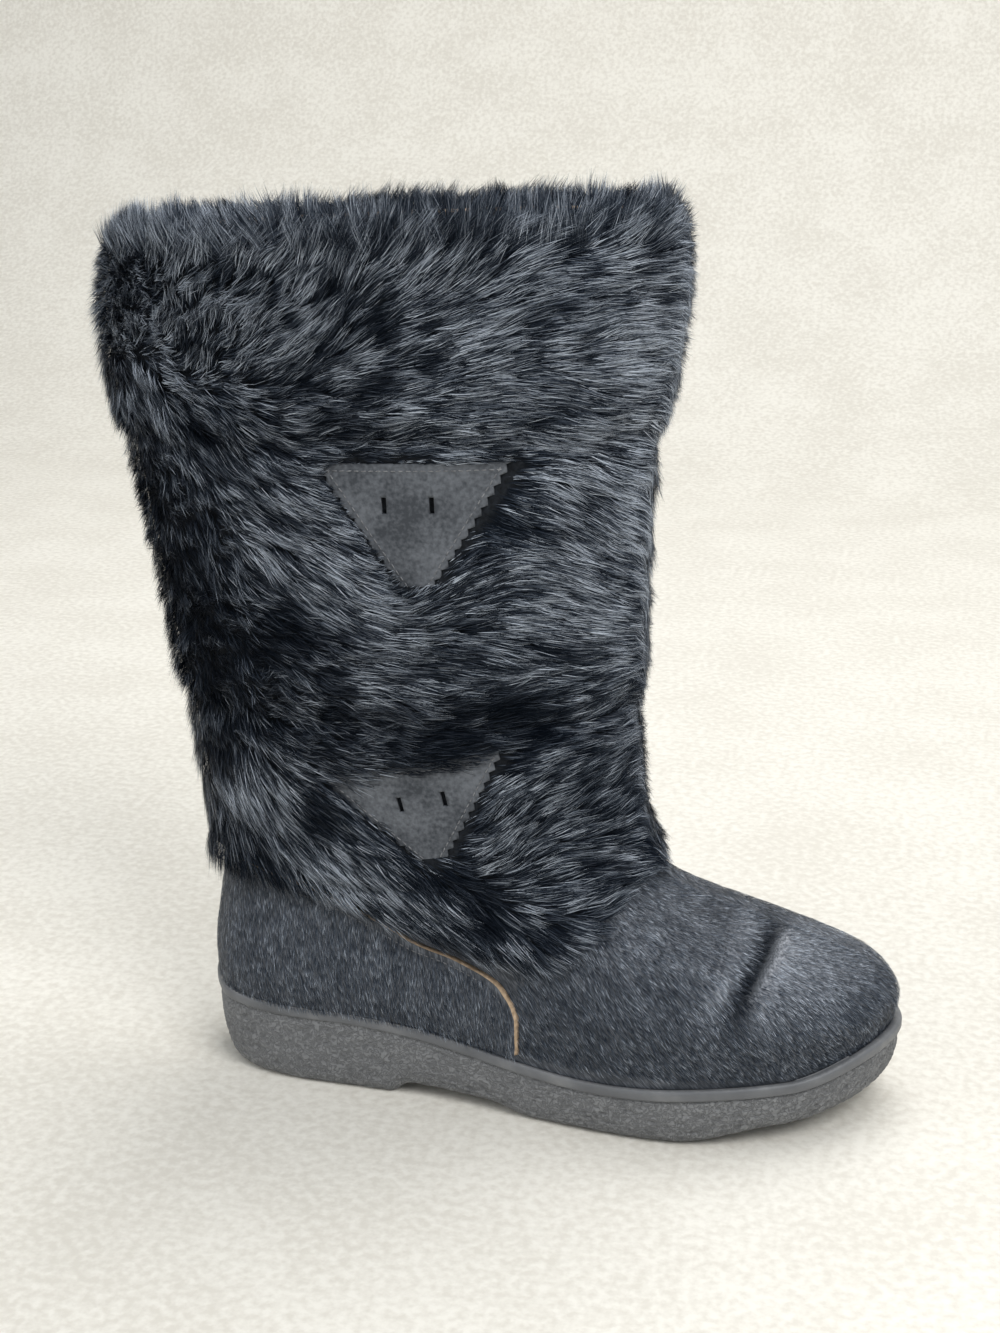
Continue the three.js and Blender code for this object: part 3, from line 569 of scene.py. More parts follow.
upper_turn = np.linspace(0, COLUMNS, UPPER_COLUMNS, endpoint=False)
outer_rings = np.concatenate([np.arange(0, ANKLE, 0.16), np.arange(ANKLE, COLLAR, 0.6)])
upper_rows = [on_last(ring, upper_turn, swell(ring, upper_turn) if ring < ANKLE else 0.0)
              for ring in outer_rings]
upper_kinds = [0] * len(upper_rows)
for depth, lift in ((0.0, 0.0), (0.25, 0.5), (0.8, 0.8), (1.8, 0.8), (2.35, 0.5), (WALL, 0.0)):
    rim = on_last(COLLAR, upper_turn, -depth)
    rim[:, 2] += lift + 0.3 * waves(rim, 9)
    upper_rows.append(rim)
    upper_kinds.append(1)
upper_kinds[-1] = 2
for ring in outer_rings[::-2]:
    sunk = np.minimum(swell(ring, upper_turn) if ring < ANKLE else 0.0, 0.0)
    upper_rows.append(on_last(ring, upper_turn, sunk - WALL))
    upper_kinds.append(2)
upper = loft("upper_hide", upper_rows, [hide, raw_edge, lining], True, upper_kinds)
upper_points = np.array(upper_rows)
note(upper, "sheen", foot_painted_light(upper_points))
note(upper, "comb", streaks(upper_points, math.radians(42)))
fitted(upper, "short_hide", "upper")


# The insole: a sock of grey wool felt that lies in the seat, a little crowned at its edge.
INSOLE_THICKNESS, INSOLE_COLUMNS, INSOLE_MERGE = 5, 180, 0.02

felt = Finish("insole_felt", Roughness=0.95, Sheen_Weight=0.3)
wool = felt.noise(350, 8)
felt.lead(felt.ramp(wool, (0.3, (0.16, 0.145, 0.12)), (0.7, (0.36, 0.33, 0.27))))
felt.emboss(wool, 0.6, 0.0008)

insole_turn = np.linspace(0, COLUMNS, INSOLE_COLUMNS, endpoint=False)
insole_rows = []
for share, lift in ((0.0, 0.0), (0.8, 0.0), (0.97, 0.0), (1.0, 0.25), (1.0, 0.6), (0.985, 0.88),
                    (0.95, 1.0), (0.75, 1.0), (0.5, 1.0), (0.25, 1.0), (0.0, 1.0)):
    rim = on_last(0, insole_turn, -(WALL + GAP))
    along = plan_at(np.minimum(insole_turn, COLUMNS - insole_turn) * (len(PLAN) - 1) / STATIONS)
    middle = on_last(0, COLUMNS - insole_turn, -(WALL + GAP))
    row = (rim + middle) / 2 + (rim - middle) / 2 * share
    row[:, 2] = eased(LIP, along[:, 0]) - SEAT_DEPTH + GAP + INSOLE_THICKNESS * lift
    insole_rows.append(row)
insole = loft("insole_sock", insole_rows, [felt])
faced_out(insole, INSOLE_MERGE)
fitted(insole, "insole_felt", "insole")


# The heel counter: a second layer of short-haired hide wrapped round the heel and stitched down,
# with a raw tan edge where it ends on the foot.
COUNTER_THICKNESS, COUNTER_LENGTH, COUNTER_FOOT = 1.5, 135, 0.3
COUNTER_COLUMNS, COUNTER_ROWS, EDGE_BEVEL = 260, 26, 1.3
# Its upper edge, x from the sole's back and z from the floor.
COUNTER_EDGE = np.array([(-60, 96), (-20, 94), (20, 90), (55, 82), (78, 73), (94, 66), (110, 62.2),
                         (125.4, 56.3), (132.6, 48.5), (135.5, 41.5), (137, 33)])

counter_top = np.vstack([
    curve_through(*COUNTER_EDGE[i:i + 4], np.linspace(0, 1, 20, endpoint=False)[:, None])
    for i in range(len(COUNTER_EDGE) - 3)])
station_line = np.linspace(0, len(PLAN) - 1, 800)
along_line = plan_at(station_line)[:, 0]


def counter_place(x0, side, ring):
    """The column at which the counter's line x0 crosses a ring."""
    back = np.interp(ring, np.arange(COLLAR + 1), RINGS[:, 0])
    front = np.interp(ring, np.arange(COLLAR + 1), RINGS[:, 1])
    x = back + x0 * (COUNTER_LENGTH - back) / COUNTER_LENGTH
    station = np.interp((x - back) / (front - back), along_line, station_line)
    column = station * STATIONS / (len(PLAN) - 1)
    return np.where(side < 0, column, -column), x


swing_round = np.linspace(-1, 1, COUNTER_COLUMNS)
counter_x = COUNTER_LENGTH * np.abs(swing_round) ** 1.6
counter_side = np.where(swing_round < 0, 1, -1)


def under_edge(ring):
    """Whether each column of the counter is still below its upper edge at a ring."""
    column, x = counter_place(counter_x, counter_side, ring)
    return on_last(ring, column)[:, 2] < np.interp(x, *counter_top.T)


counter_ring_top = ring_where(under_edge, COUNTER_FOOT, 8.0, COUNTER_COLUMNS)


def counter_row(share, outside, shy=0.0):
    """A row of the counter, shy of its full outline by a few millimetres."""
    ring = COUNTER_FOOT + (counter_ring_top - COUNTER_FOOT) * share * (1 - shy / 36)
    column, _ = counter_place(counter_x * (1 - shy / COUNTER_LENGTH), counter_side, ring)
    return on_last(ring, column, outside)


outer_skin = [counter_row(s, GAP + COUNTER_THICKNESS, EDGE_BEVEL)
              for s in np.linspace(0, 1, COUNTER_ROWS)]
inner_skin = [counter_row(s, GAP * 0.4) for s in np.linspace(1, 0, COUNTER_ROWS)]
counter_rows = np.array(outer_skin + inner_skin)
total = len(counter_rows)
counter_faces = quads(total, COUNTER_COLUMNS, join_rows=True, join_columns=False)
counter_kinds = [int(i == COUNTER_ROWS - 1)
                 for i in range(total) for _ in range(COUNTER_COLUMNS - 1)]
for end in (0, COUNTER_COLUMNS - 1):
    for i in range(COUNTER_ROWS - 1):
        a, b = i * COUNTER_COLUMNS + end, (i + 1) * COUNTER_COLUMNS + end
        c, d = (total - 2 - i) * COUNTER_COLUMNS + end, (total - 1 - i) * COUNTER_COLUMNS + end
        counter_faces.append((a, b, c, d) if end == 0 else (b, a, d, c))
counter_kinds += [1] * (len(counter_faces) - len(counter_kinds))
counter = mesh_object("counter_hide", counter_rows, counter_faces, [hide, raw_edge])
counter.data.polygons.foreach_set("material_index", counter_kinds)
note(counter, "sheen", 0.66 + 0.1 * waves(counter_rows, 10, 9) + 0.12 * waves(counter_rows, 4, 10))
note(counter, "comb", streaks(counter_rows, math.radians(14)))
faced_out(counter)
fitted(counter, "short_hide", "heel_counter")


# The suede patches: two upside-down triangles on the outer side of the shaft, pinked along their
# lower edges, with a pair of cut slits each, sewn on through the pelt.
PATCH_WIDTH, PATCH_DROP, PATCH_THICKNESS, PATCH_TIP, PATCH_BOW = 71, 45, 1.8, 13, 0.7
PINK_PITCH, PINK_DEPTH = 4.6, 1.8
SLIT_LENGTH, SLIT_WIDTH, SLIT_SPACING, SLIT_DROP = 6.0, 1.9, 17, 15
CUT_FROM, CUT_TO = -90.0, 0.0
SEARCH_STEPS, NUDGE = 30, 0.05
# Name, middle and top as shares of sole and shaft, tilt, width, drop, and the slits' shift.
PATCHES = [("patch_upper", 0.349, 0.643, 0.04, 1.0, 1.0, -0.024),
           ("patch_lower", 0.336, 0.151, 0.22, 1.03, 0.85, 0.026)]

suede = Finish("suede", Roughness=0.95, Specular_IOR_Level=0.15)
nap = suede.noise(620, 5)
mixed = suede.reckon("MULTIPLY", suede.reckon("ADD", nap, suede.noise(60, 7)), 0.5)
suede.lead(suede.ramp(mixed, (0.37, (0.050, 0.055, 0.063)), (0.63, (0.142, 0.152, 0.168))))
suede.emboss(nap, 0.6, 0.0005)


def side_place(x, z):
    """Ring and column of the points of the outer side that are seen at x and z from the side."""
    x, z = np.asarray(x, float), np.asarray(z, float)
    ring, column = np.full(x.shape, 13.25), np.full(x.shape, 8.0)
    for _ in range(SEARCH_STEPS):
        here = on_last(ring, column)
        over, up = on_last(ring, column + NUDGE), on_last(ring + NUDGE, column)
        a, b = (over - here) / NUDGE, (up - here) / NUDGE
        dx, dz = x - here[..., 0], z - here[..., 2]
        det = a[..., 0] * b[..., 2] - b[..., 0] * a[..., 2]
        column = np.clip(column + np.clip((dx * b[..., 2] - b[..., 0] * dz) / det, -2, 2), 1, 16)
        ring = np.clip(ring + np.clip((a[..., 0] * dz - dx * a[..., 2]) / det, -2, 2), 7, 17.9)
    return ring, column


def patch_outline(width, drop, grow, toothed):
    """The patch's outline about the middle of its top edge."""
    half = PATCH_WIDTH * width / 2 + grow * 2
    top, foot, tip = grow, -PATCH_DROP * drop - grow * 2, PATCH_TIP / 2 + grow
    outline = []
    for start, end in (((-half, top), (-tip, foot)), ((tip, foot), (half, top))):
        start, end = np.array(start), np.array(end)
        length = np.linalg.norm(end - start)
        ahead = (end - start) / length
        inward = np.array([-ahead[1], ahead[0]])
        teeth = round(length / PINK_PITCH) if toothed else 1
        for i in range(2 * teeth):
            share = i / teeth / 2
            cut = PINK_DEPTH * (i % 2) if toothed else 0
            outline.append(start + ahead * length * share
                           + inward * (cut - 4 * PATCH_BOW * share * (1 - share)))
        outline.append(end)
    return outline


def patch_to_boot(points, patch):
    """From the patch's own flat sizes to x and z on the boot."""
    _, across_share, up_share, tilt = patch[:4]
    points = np.asarray(points, float)
    x = points[..., 0] * math.cos(tilt) - points[..., 1] * math.sin(tilt)
    z = points[..., 0] * math.sin(tilt) + points[..., 1] * math.cos(tilt)
    return (x + across_share * SOLE_LENGTH - HEEL_MIDDLE,
            z + FOOT_HEIGHT + up_share * SHAFT_HEIGHT)


def prism(name, outline):
    """A cutter through the outer side of the boot, from an outline in x and z."""
    count = len(outline[0])
    points = [(x, y, z) for y in (CUT_FROM, CUT_TO) for x, z in zip(*outline)]
    ends = [list(range(count))[::-1], list(range(count, 2 * count))]
    made = mesh_object(name, points, ends + quads(2, count))
    faced_out(made)
    return made


def applied(piece):
    """The piece with its modifiers made part of its mesh."""
    depsgraph = bpy.context.evaluated_depsgraph_get()
    depsgraph.update()
    mesh = bpy.data.meshes.new_from_object(piece.evaluated_get(depsgraph), depsgraph=depsgraph)
    piece.modifiers.clear()
    piece.data = mesh
    mesh.name = piece.name
    return piece


def cut(piece, cutter, operation):
    """Cuts a piece with a cutter, which is then thrown away."""
    modifier = piece.modifiers.new("cut", "BOOLEAN")
    modifier.operation, modifier.solver, modifier.object = operation, "EXACT", cutter
    applied(piece)
    bpy.data.objects.remove(cutter)


for patch in PATCHES:
    name, _, _, _, wide, drop, shift = patch
    half, foot = PATCH_WIDTH * wide / 2 + 4, -PATCH_DROP * drop - 4
    grid_x, grid_z = np.meshgrid(np.linspace(-half, half, 64), np.linspace(foot, 4, 44))
    ring, column = side_place(*patch_to_boot(np.stack([grid_x, grid_z], -1), patch))
    points = [on_last(ring, column, offset) for offset in (GAP + PATCH_THICKNESS, GAP)]
    size, faces = grid_x.size, []
    for face in quads(*grid_x.shape, join_columns=False):
        faces += [face, [size + corner for corner in reversed(face)]]
    index = np.arange(size).reshape(grid_x.shape)
    border = np.concatenate(
        [index[0, :-1], index[:-1, -1], index[-1, :0:-1], index[:0:-1, 0]]).tolist()
    for a, b in zip(border, border[1:] + border[:1]):
        faces.append((b, a, size + a, size + b))
    piece = mesh_object(name + "_suede", np.array(points), faces, [suede])
    faced_out(piece)
    cut(piece, prism("outline", patch_to_boot(patch_outline(wide, drop, 0, True), patch)),
        "INTERSECT")
    for side in (-0.5, 0.5):
        middle = side * SLIT_SPACING + shift * PATCH_WIDTH
        ends = [(middle + w * SLIT_WIDTH / 2, -SLIT_DROP + h * SLIT_LENGTH / 2)
                for w, h in ((-1, -1), (1, -1), (1, 1), (-1, 1))]
        cut(piece, prism("slit", patch_to_boot(ends, patch)), "DIFFERENCE")
    fitted(piece, "suede", name)


# Stitches: waxed thread along the patches' edges and inside the counter's raw edge.
STITCH_PITCH, STITCH_LENGTH, STITCH_WIDTH = 2.6, 1.9, 0.55
STITCH_PROUD, SEAM_POINTS, STITCH_SIDES, UNIT = 0.08, 60, 6, 1000
# How far the patches' seams lie inside the top edge, the tip, the corners and the tip's corners.
SEAM_TOP, SEAM_FOOT, SEAM_CORNER, SEAM_TIP, COUNTER_SEAM = 2.6, 1.2, 5.4, 2.6, 3.2
# Share of a stitch's length from its middle, and its thickness there.
STITCH_SHAPE = ((-0.5, 0.3), (-0.3, 0.9), (0.3, 0.9), (0.5, 0.3))

thread = Finish("waxed_thread", Roughness=0.6, Specular_IOR_Level=0.4)
ply = thread.noise(900, 3)
thread.lead(thread.ramp(ply, (0.3, (0.10, 0.103, 0.11)), (0.7, (0.24, 0.245, 0.255))))

stitch_turn = [2 * k * math.pi / STITCH_SIDES for k in range(STITCH_SIDES)]
stitch_points = [(math.cos(a) * thick / 2, along, math.sin(a) * thick / 2)
                 for along, thick in STITCH_SHAPE for a in stitch_turn]
stitch_faces = [[a, d, c, b] for a, b, c, d in quads(len(STITCH_SHAPE), STITCH_SIDES)]
stitch_ends = [list(range(STITCH_SIDES)),
               list(range(len(stitch_points) - STITCH_SIDES, len(stitch_points)))[::-1]]
one_stitch = mesh_object("one_stitch", np.array(stitch_points) * UNIT, stitch_faces + stitch_ends)


def tree_of(name, sockets):
    """A Geometry Nodes tree with named inputs: itself, a way to add nodes, and the inputs."""
    tree = bpy.data.node_groups.new(name, "GeometryNodeTree")
    for label, kind in (("Geometry", "Geometry"), *sockets):
        tree.interface.new_socket(label, in_out="INPUT", socket_type="NodeSocket" + kind)
    tree.interface.new_socket("Geometry", in_out="OUTPUT", socket_type="NodeSocketGeometry")
    add = graph(tree)
    return tree, add, add("NodeGroupInput").outputs


def chance(add, low, high, seed):
    """A random number, or a random vector, at each point."""
    values = {"Min": low, "Max": high, "Seed": seed}
    if isinstance(low, tuple):
        return add("FunctionNodeRandomValue", values, data_type="FLOAT_VECTOR").outputs[0]
    return add("FunctionNodeRandomValue", values).outputs[1]


def turned_to(add, along, facing):
    """The turn that leads +Y along one direction and +Z near another."""
    values = {"Primary Axis": along, "Secondary Axis": facing}
    return add("FunctionNodeAxesToRotation", values,
               primary_axis="Y", secondary_axis="Z").outputs[0]


def scattered(add, points, piece, turn, size, finish):
    """Ends a tree: the piece at each point, made real, smooth and finished."""
    one = add("GeometryNodeObjectInfo", {"Object": piece}).outputs["Geometry"]
    placed = add("GeometryNodeInstanceOnPoints", {
        "Points": points, "Instance": one, "Rotation": turn, "Scale": size}).outputs[0]
    real = add("GeometryNodeRealizeInstances", {"Geometry": placed}).outputs[0]
    smooth = add("GeometryNodeSetShadeSmooth", {"Geometry": real}).outputs[0]
    done = add("GeometryNodeSetMaterial", {"Geometry": smooth, "Material": finish}).outputs[0]
    add("NodeGroupOutput", {"Geometry": done})


def stitch_tree():
    """Geometry Nodes: a stitch at each step along a seam drawn as edges."""
    tree, add, given = tree_of("stitches_along_seam", (
        ("Pitch", "Float"), ("Stitch length", "Float"), ("Thread width", "Float"),
        ("Stitch", "Object"), ("Finish", "Material")))
    seam = add("GeometryNodeMeshToCurve", {"Mesh": given["Geometry"]}).outputs[0]
    steps = add("GeometryNodeResampleCurve", {"Curve": seam, "Length": given["Pitch"]},
                mode="LENGTH").outputs[0]
    along = add("GeometryNodeInputTangent").outputs[0]
    wander = chance(add, (-0.12,) * 3, (0.12,) * 3, 2)
    aim = add("ShaderNodeVectorMath", {0: along, 1: wander}, operation="ADD").outputs[0]
    size = add("ShaderNodeCombineXYZ", {0: given["Thread width"], 1: given["Stitch length"],
                                        2: given["Thread width"]}).outputs[0]
    turn = turned_to(add, aim, (0.0, -1.0, 0.0))
    scattered(add, steps, given["Stitch"], turn, size, given["Finish"])
    return tree


def grown(tree, skin, name, values):
    """A piece of its own from a tree run on a skin or a seam."""
    piece = bpy.data.objects.new(name, skin.data.copy())
    bpy.context.scene.collection.objects.link(piece)
    modifier = piece.modifiers.new("grown", "NODES")
    modifier.node_group = tree
    for item in tree.interface.items_tree:
        if item.in_out == "INPUT" and item.name in values:
            modifier[item.identifier] = values[item.name]
    return applied(piece)


stitching = stitch_tree()


def sewn(name, seams, slot):
    """Stitches along seams, each a row of points."""
    points = np.vstack(seams)
    starts = np.cumsum([0] + [len(seam) for seam in seams])
    edges = [(i, i + 1) for a, b in zip(starts, starts[1:]) for i in range(a, b - 1)]
    mesh = bpy.data.meshes.new(name)
    mesh.from_pydata((points * MM).tolist(), edges, [])
    seam = bpy.data.objects.new("seam", mesh)
    piece = grown(stitching, seam, name, {
        "Pitch": STITCH_PITCH * MM, "Stitch length": STITCH_LENGTH * MM,
        "Thread width": STITCH_WIDTH * MM, "Stitch": one_stitch, "Finish": thread.material})
    bpy.data.objects.remove(seam)
    fitted(piece, slot)


for patch in PATCHES:
    name, _, _, _, wide, drop, _ = patch
    top, foot = -SEAM_TOP, -PATCH_DROP * drop + SEAM_FOOT
    half, tip = PATCH_WIDTH * wide / 2 - SEAM_CORNER, PATCH_TIP / 2 - SEAM_TIP
    share = np.linspace(0, 1, SEAM_POINTS)[:, None]
    lines = []
    for start, end in (((-half, top), (half, top)), ((-half, top), (-tip, foot)),
                       ((half, top), (tip, foot))):
        flat = np.array(start) + (np.array(end) - start) * share
        ring, column = side_place(*patch_to_boot(flat, patch))
        lines.append(on_last(ring, column, GAP + PATCH_THICKNESS + STITCH_PROUD))
    sewn(name + "_stitches", lines, "suede")

seam = np.array([counter_row(share, GAP + COUNTER_THICKNESS + 0.1, EDGE_BEVEL + COUNTER_SEAM)
                 for share in np.linspace(0, 1, SEAM_POINTS)])
sewn("counter_stitches", [seam[:, 0], seam[:, -1], seam[-1]], "short_hide")
bpy.data.objects.remove(one_stitch)


# The fur: three strips of long-haired black pelt, sewn round the shaft one above another. Each
# has a dense underfur, modelled as a rough sleeve, and guard hairs that lie the way the pelt
# was combed: towards the toe on the sides, loose and tangled at the back, up at the collar.
FUR_DEPTH, HAIR_KNEE = 9.5, 0.42
GUARD_WIDTH, GUARD_LOCKS, HAIR_TRIM, LONGEST_HAIR = 0.2, 0.1, 0.84, 22
# The rings of the last at which the strips meet, and how far the lowest hangs below its edge.
SEAM_CUFF, SEAM_LOWER, FUR_FOOT, FUR_HANG = 15.1, 11.35, 3.0, 3
PELT_COLUMNS, PELT_SPAN, COMB_BLUR = 240, 170, 50
# The lowest strip's edge: share along the sole, and share of the foot's height.
FUR_EDGE = np.array([(-0.3, 0.82), (0.03, 0.82), (0.2, 0.78), (0.3, 0.68), (0.4, 0.62),
                     (0.5, 0.6), (0.57, 0.68), (0.63, 0.84), (0.69, 0.98)])
# How the hair is combed: share from back to front, height, angle from straight down towards the
# toe, lift off the skin, length, tangle, and lightness, which is partly the hair's own tone and
# partly painted light: painted highlights where the fur looks silky and painted shade where it
# looks dark.
COMBED = np.array([
    (0.03, 342, 205, 0.60, 13, 0.9, 0.80), (0.23, 339, 155, 0.50, 16, 0.5, 0.85),
    (0.45, 334, 155, 0.45, 17, 0.4, 0.48), (0.66, 340, 138, 0.42, 17, 0.3, 0.40),
    (0.92, 340, 135, 0.38, 16, 0.3, 0.50), (0.05, 307, 100, 0.65, 11, 1.3, 1.05),
    (0.22, 300, 132, 0.55, 12, 1.0, 0.88), (0.41, 298, 135, 0.38, 16, 0.4, 0.70),
    (0.65, 293, 106, 0.28, 17, 0.2, 0.68), (0.89, 316, 90, 0.25, 18, 0.2, 0.70),
    (0.97, 298, 95, 0.25, 17, 0.2, 1.10), (0.87, 272, 80, 0.24, 17, 0.2, 0.85),
    (0.09, 272, 50, 0.45, 14, 0.5, 0.60), (0.25, 259, 60, 0.40, 15, 0.4, 0.45),
    (0.47, 265, 102, 0.35, 14, 0.4, 0.35), (0.69, 270, 86, 0.25, 16, 0.2, 0.75),
    (0.03, 236, 80, 0.65, 10, 1.4, 0.26), (0.17, 228, 60, 0.55, 10, 1.3, 0.28),
    (0.31, 231, 60, 0.28, 16, 0.2, 0.80), (0.42, 210, 65, 0.26, 17, 0.2, 0.85),
    (0.64, 217, 132, 0.30, 16, 0.2, 1.00), (0.75, 245, 80, 0.24, 17, 0.2, 0.55),
    (0.93, 236, 65, 0.24, 17, 0.2, 1.25), (0.14, 183, 75, 0.60, 10, 1.4, 0.28),
    (0.33, 193, 76, 0.42, 14, 0.5, 0.24), (0.51, 178, 83, 0.30, 17, 0.3, 0.65),
    (0.70, 183, 90, 0.28, 17, 0.3, 0.50), (0.88, 201, 75, 0.25, 17, 0.2, 0.95),
    (0.74, 162, 106, 0.30, 15, 0.4, 0.22), (0.94, 157, 108, 0.34, 15, 0.3, 0.50),
    (0.10, 148, 55, 0.55, 11, 1.3, 0.30), (0.33, 157, 90, 0.45, 12, 1.1, 0.42),
    (0.57, 150, 95, 0.35, 14, 0.5, 0.15), (0.18, 122, 42, 0.32, 17, 0.1, 1.15),
    (0.08, 103, 20, 0.30, 16, 0.4, 0.22), (0.30, 104, 50, 0.28, 17, 0.15, 1.05),
    (0.29, 116, 55, 0.25, 12, 0.2, 0.05), (0.75, 117, 138, 0.32, 15, 0.2, 0.80),
    (0.93, 134, 118, 0.32, 15, 0.3, 0.45), (0.85, 104, 98, 0.28, 15, 0.2, 0.42),
    (0.45, 92, 62, 0.25, 17, 0.2, 0.45), (0.92, 94, 78, 0.25, 13, 0.2, 0.45),
    (0.15, 84, 25, 0.25, 14, 0.2, 0.30),
])

guard_hair = Finish("guard_hair", Roughness=0.38)
shade = guard_hair.reckon("MULTIPLY", guard_hair.noted("light"), guard_hair.noted("tip"))
guard_hair.lead(guard_hair.ramp(
    shade, (0.0, (0.003, 0.0048, 0.0080)), (0.16, (0.014, 0.0205, 0.0330)),
    (0.45, (0.083, 0.103, 0.135)), (1.0, (0.44, 0.49, 0.56))))
guard_hair.lead(guard_hair.reckon("MINIMUM", shade, 0.6), "Specular IOR Level")

underfur = Finish("underfur", Roughness=0.9, Specular_IOR_Level=0.2)
wisps = underfur.noise(500, 5)
underfur.lead(underfur.ramp(wisps, (0.3, (0.003, 0.0038, 0.005)), (0.75, (0.014, 0.017, 0.022))))
underfur.emboss(wisps, 0.7, 0.001)


def combed(points):
    """Angle, lift, length, tangle and lightness of the hair at points of the boot."""
    x = points[..., 0] + HEEL_MIDDLE
    z = points[..., 2]
    back = np.interp(z, RINGS[:, 2], RINGS[:, 0])
    front = np.interp(z, RINGS[:, 2], RINGS[:, 1])
    share = np.clip((x - back) / (front - back), 0, 1)
    away = ((share[..., None] - COMBED[:, 0]) * PELT_SPAN) ** 2
    away = away + (z[..., None] - COMBED[:, 1]) ** 2
    weight = 1 / (away + COMB_BLUR) ** 2
    weight /= weight.sum(-1, keepdims=True)
    return [weight @ COMBED[:, k] for k in range(2, 7)], share


def hair_blade(name, curl):
    """One hair: a bent kite a unit long along +Y, thin at both ends, that arches out along +Z."""
    points = [(0, 0, 0), (-0.5, HAIR_KNEE, curl), (0.5, HAIR_KNEE, curl), (0, 1, 0)]
    made = mesh_object(name, np.array(points) * UNIT, [(0, 2, 1), (1, 2, 3)])
    note(made, "tip", np.array(points)[:, 1])
    return made


def hair_tree():
    """Geometry Nodes: hairs over a skin that carries its own lay, reach, light and cover. Each
    hair leans to the tip of the nearest lock, so that the fur parts into locks."""
    tree, add, given = tree_of("hairs_on_skin", (
        ("Hairs per square metre", "Float"), ("Locks per square metre", "Float"),
        ("Hair width", "Float"), ("Pull to the lock", "Float"), ("Scatter", "Float"),
        ("Sparkle", "Float"), ("Seed", "Int"), ("Hair", "Object"), ("Finish", "Material")))

    def named(name, kind):
        node = add("GeometryNodeInputNamedAttribute", {"Name": name}, data_type=kind)
        return node.outputs["Attribute"]

    def vector(operation, a, b, socket=1):
        return add("ShaderNodeVectorMath", {0: a, socket: b}, operation=operation).outputs[0]

    def product(a, b):
        return add("ShaderNodeMath", {0: a, 1: b}, operation="MULTIPLY").outputs[0]

    def sum_of(a, b, c):
        return add("ShaderNodeMath", {0: a, 1: b, 2: c}, operation="MULTIPLY_ADD").outputs[0]

    lay, reach = named("lay", "FLOAT_VECTOR"), named("reach", "FLOAT")
    cover, light = named("cover", "FLOAT"), named("light", "FLOAT")
    far = vector("SCALE", lay, reach, "Scale")
    roots = add("GeometryNodeDistributePointsOnFaces", {
        "Mesh": given["Geometry"], "Density": product(cover, given["Hairs per square metre"]),
        "Seed": given["Seed"]})
    locks = add("GeometryNodeDistributePointsOnFaces", {
        "Mesh": given["Geometry"], "Density": given["Locks per square metre"],
        "Seed": given["Seed"]})
    here = add("GeometryNodeInputPosition").outputs[0]
    nearest = add("GeometryNodeSampleNearest", {"Geometry": locks.outputs["Points"]})
    lock_tip = add("GeometryNodeSampleIndex", {
        "Geometry": locks.outputs["Points"], "Value": vector("ADD", here, far),
        "Index": nearest.outputs["Index"]}, data_type="FLOAT_VECTOR").outputs[0]
    shade = sum_of(chance(add, -0.75, 0.6, 7), given["Sparkle"], 1.0)
    glint = add("ShaderNodeMath", {0: chance(add, 0.0, 1.0, 17), 1: 3.0},
                operation="POWER").outputs[0]
    glint = sum_of(sum_of(glint, 2.6, -0.82), given["Sparkle"], 1.0)
    lock_shade = add("GeometryNodeSampleIndex", {
        "Geometry": locks.outputs["Points"], "Value": shade,
        "Index": nearest.outputs["Index"]}, data_type="FLOAT").outputs[0]
    stray = chance(add, (-1, -1, -1), (1, 1, 1), 3)
    own = vector("SCALE", far, chance(add, 0.65, 1.15, 5), "Scale")
    loose = sum_of(named("tangle", "FLOAT"), 1.3, 0.7)
    strayed = vector("SCALE", stray, product(product(reach, given["Scatter"]), loose), "Scale")
    own_tip = vector("ADD", vector("ADD", here, own), strayed)
    tip = add("ShaderNodeMix", {"Factor": given["Pull to the lock"], "A": own_tip, "B": lock_tip},
              data_type="VECTOR")
    tip = [o for o in tip.outputs if o.type == "VECTOR"][0]
    hair = vector("SUBTRACT", tip, here)
    length = add("ShaderNodeVectorMath", {0: hair}, operation="LENGTH").outputs["Value"]
    facing = vector("ADD", roots.outputs["Normal"], chance(add, (-0.5,) * 3, (0.5,) * 3, 11))
    thick = product(chance(add, 0.5, 1.6, 13), given["Hair width"])
    size = add("ShaderNodeCombineXYZ", {0: thick, 1: length, 2: length}).outputs[0]
    toned = add("GeometryNodeStoreNamedAttribute", {
        "Geometry": roots.outputs["Points"], "Name": "light",
        "Value": product(product(light, lock_shade), glint)},
        data_type="FLOAT", domain="POINT")
    scattered(add, toned.outputs[0], given["Hair"], turned_to(add, hair, facing), size,
              given["Finish"])
    return tree


hairs = hair_tree()
long_hair = hair_blade("long_hair", 0.15)
short_hair = hair_blade("short_hair", 0.10)


def coated(name, skin, marks, blade, per_area, locks, width, pull, scatter, sparkle, seed):
    """Hairs grown on a skin that carries marks, after which the skin goes. Hairs and locks are
    counted in each square millimetre."""
    for mark, values in marks.items():
        note(skin, mark, values)
    hair = grown(hairs, skin, name, {
        "Hairs per square metre": per_area * 1e6, "Locks per square metre": locks * 1e6,
        "Hair width": width * MM, "Pull to the lock": pull, "Scatter": scatter,
        "Sparkle": sparkle, "Seed": seed, "Hair": blade, "Finish": guard_hair.material})
    bpy.data.objects.remove(skin)
    return hair


def combed_down(forward, up, angle):
    """Directions on the skin, turned by an angle from straight down towards the toe."""
    return forward * np.sin(angle)[..., None] - up * np.cos(angle)[..., None]


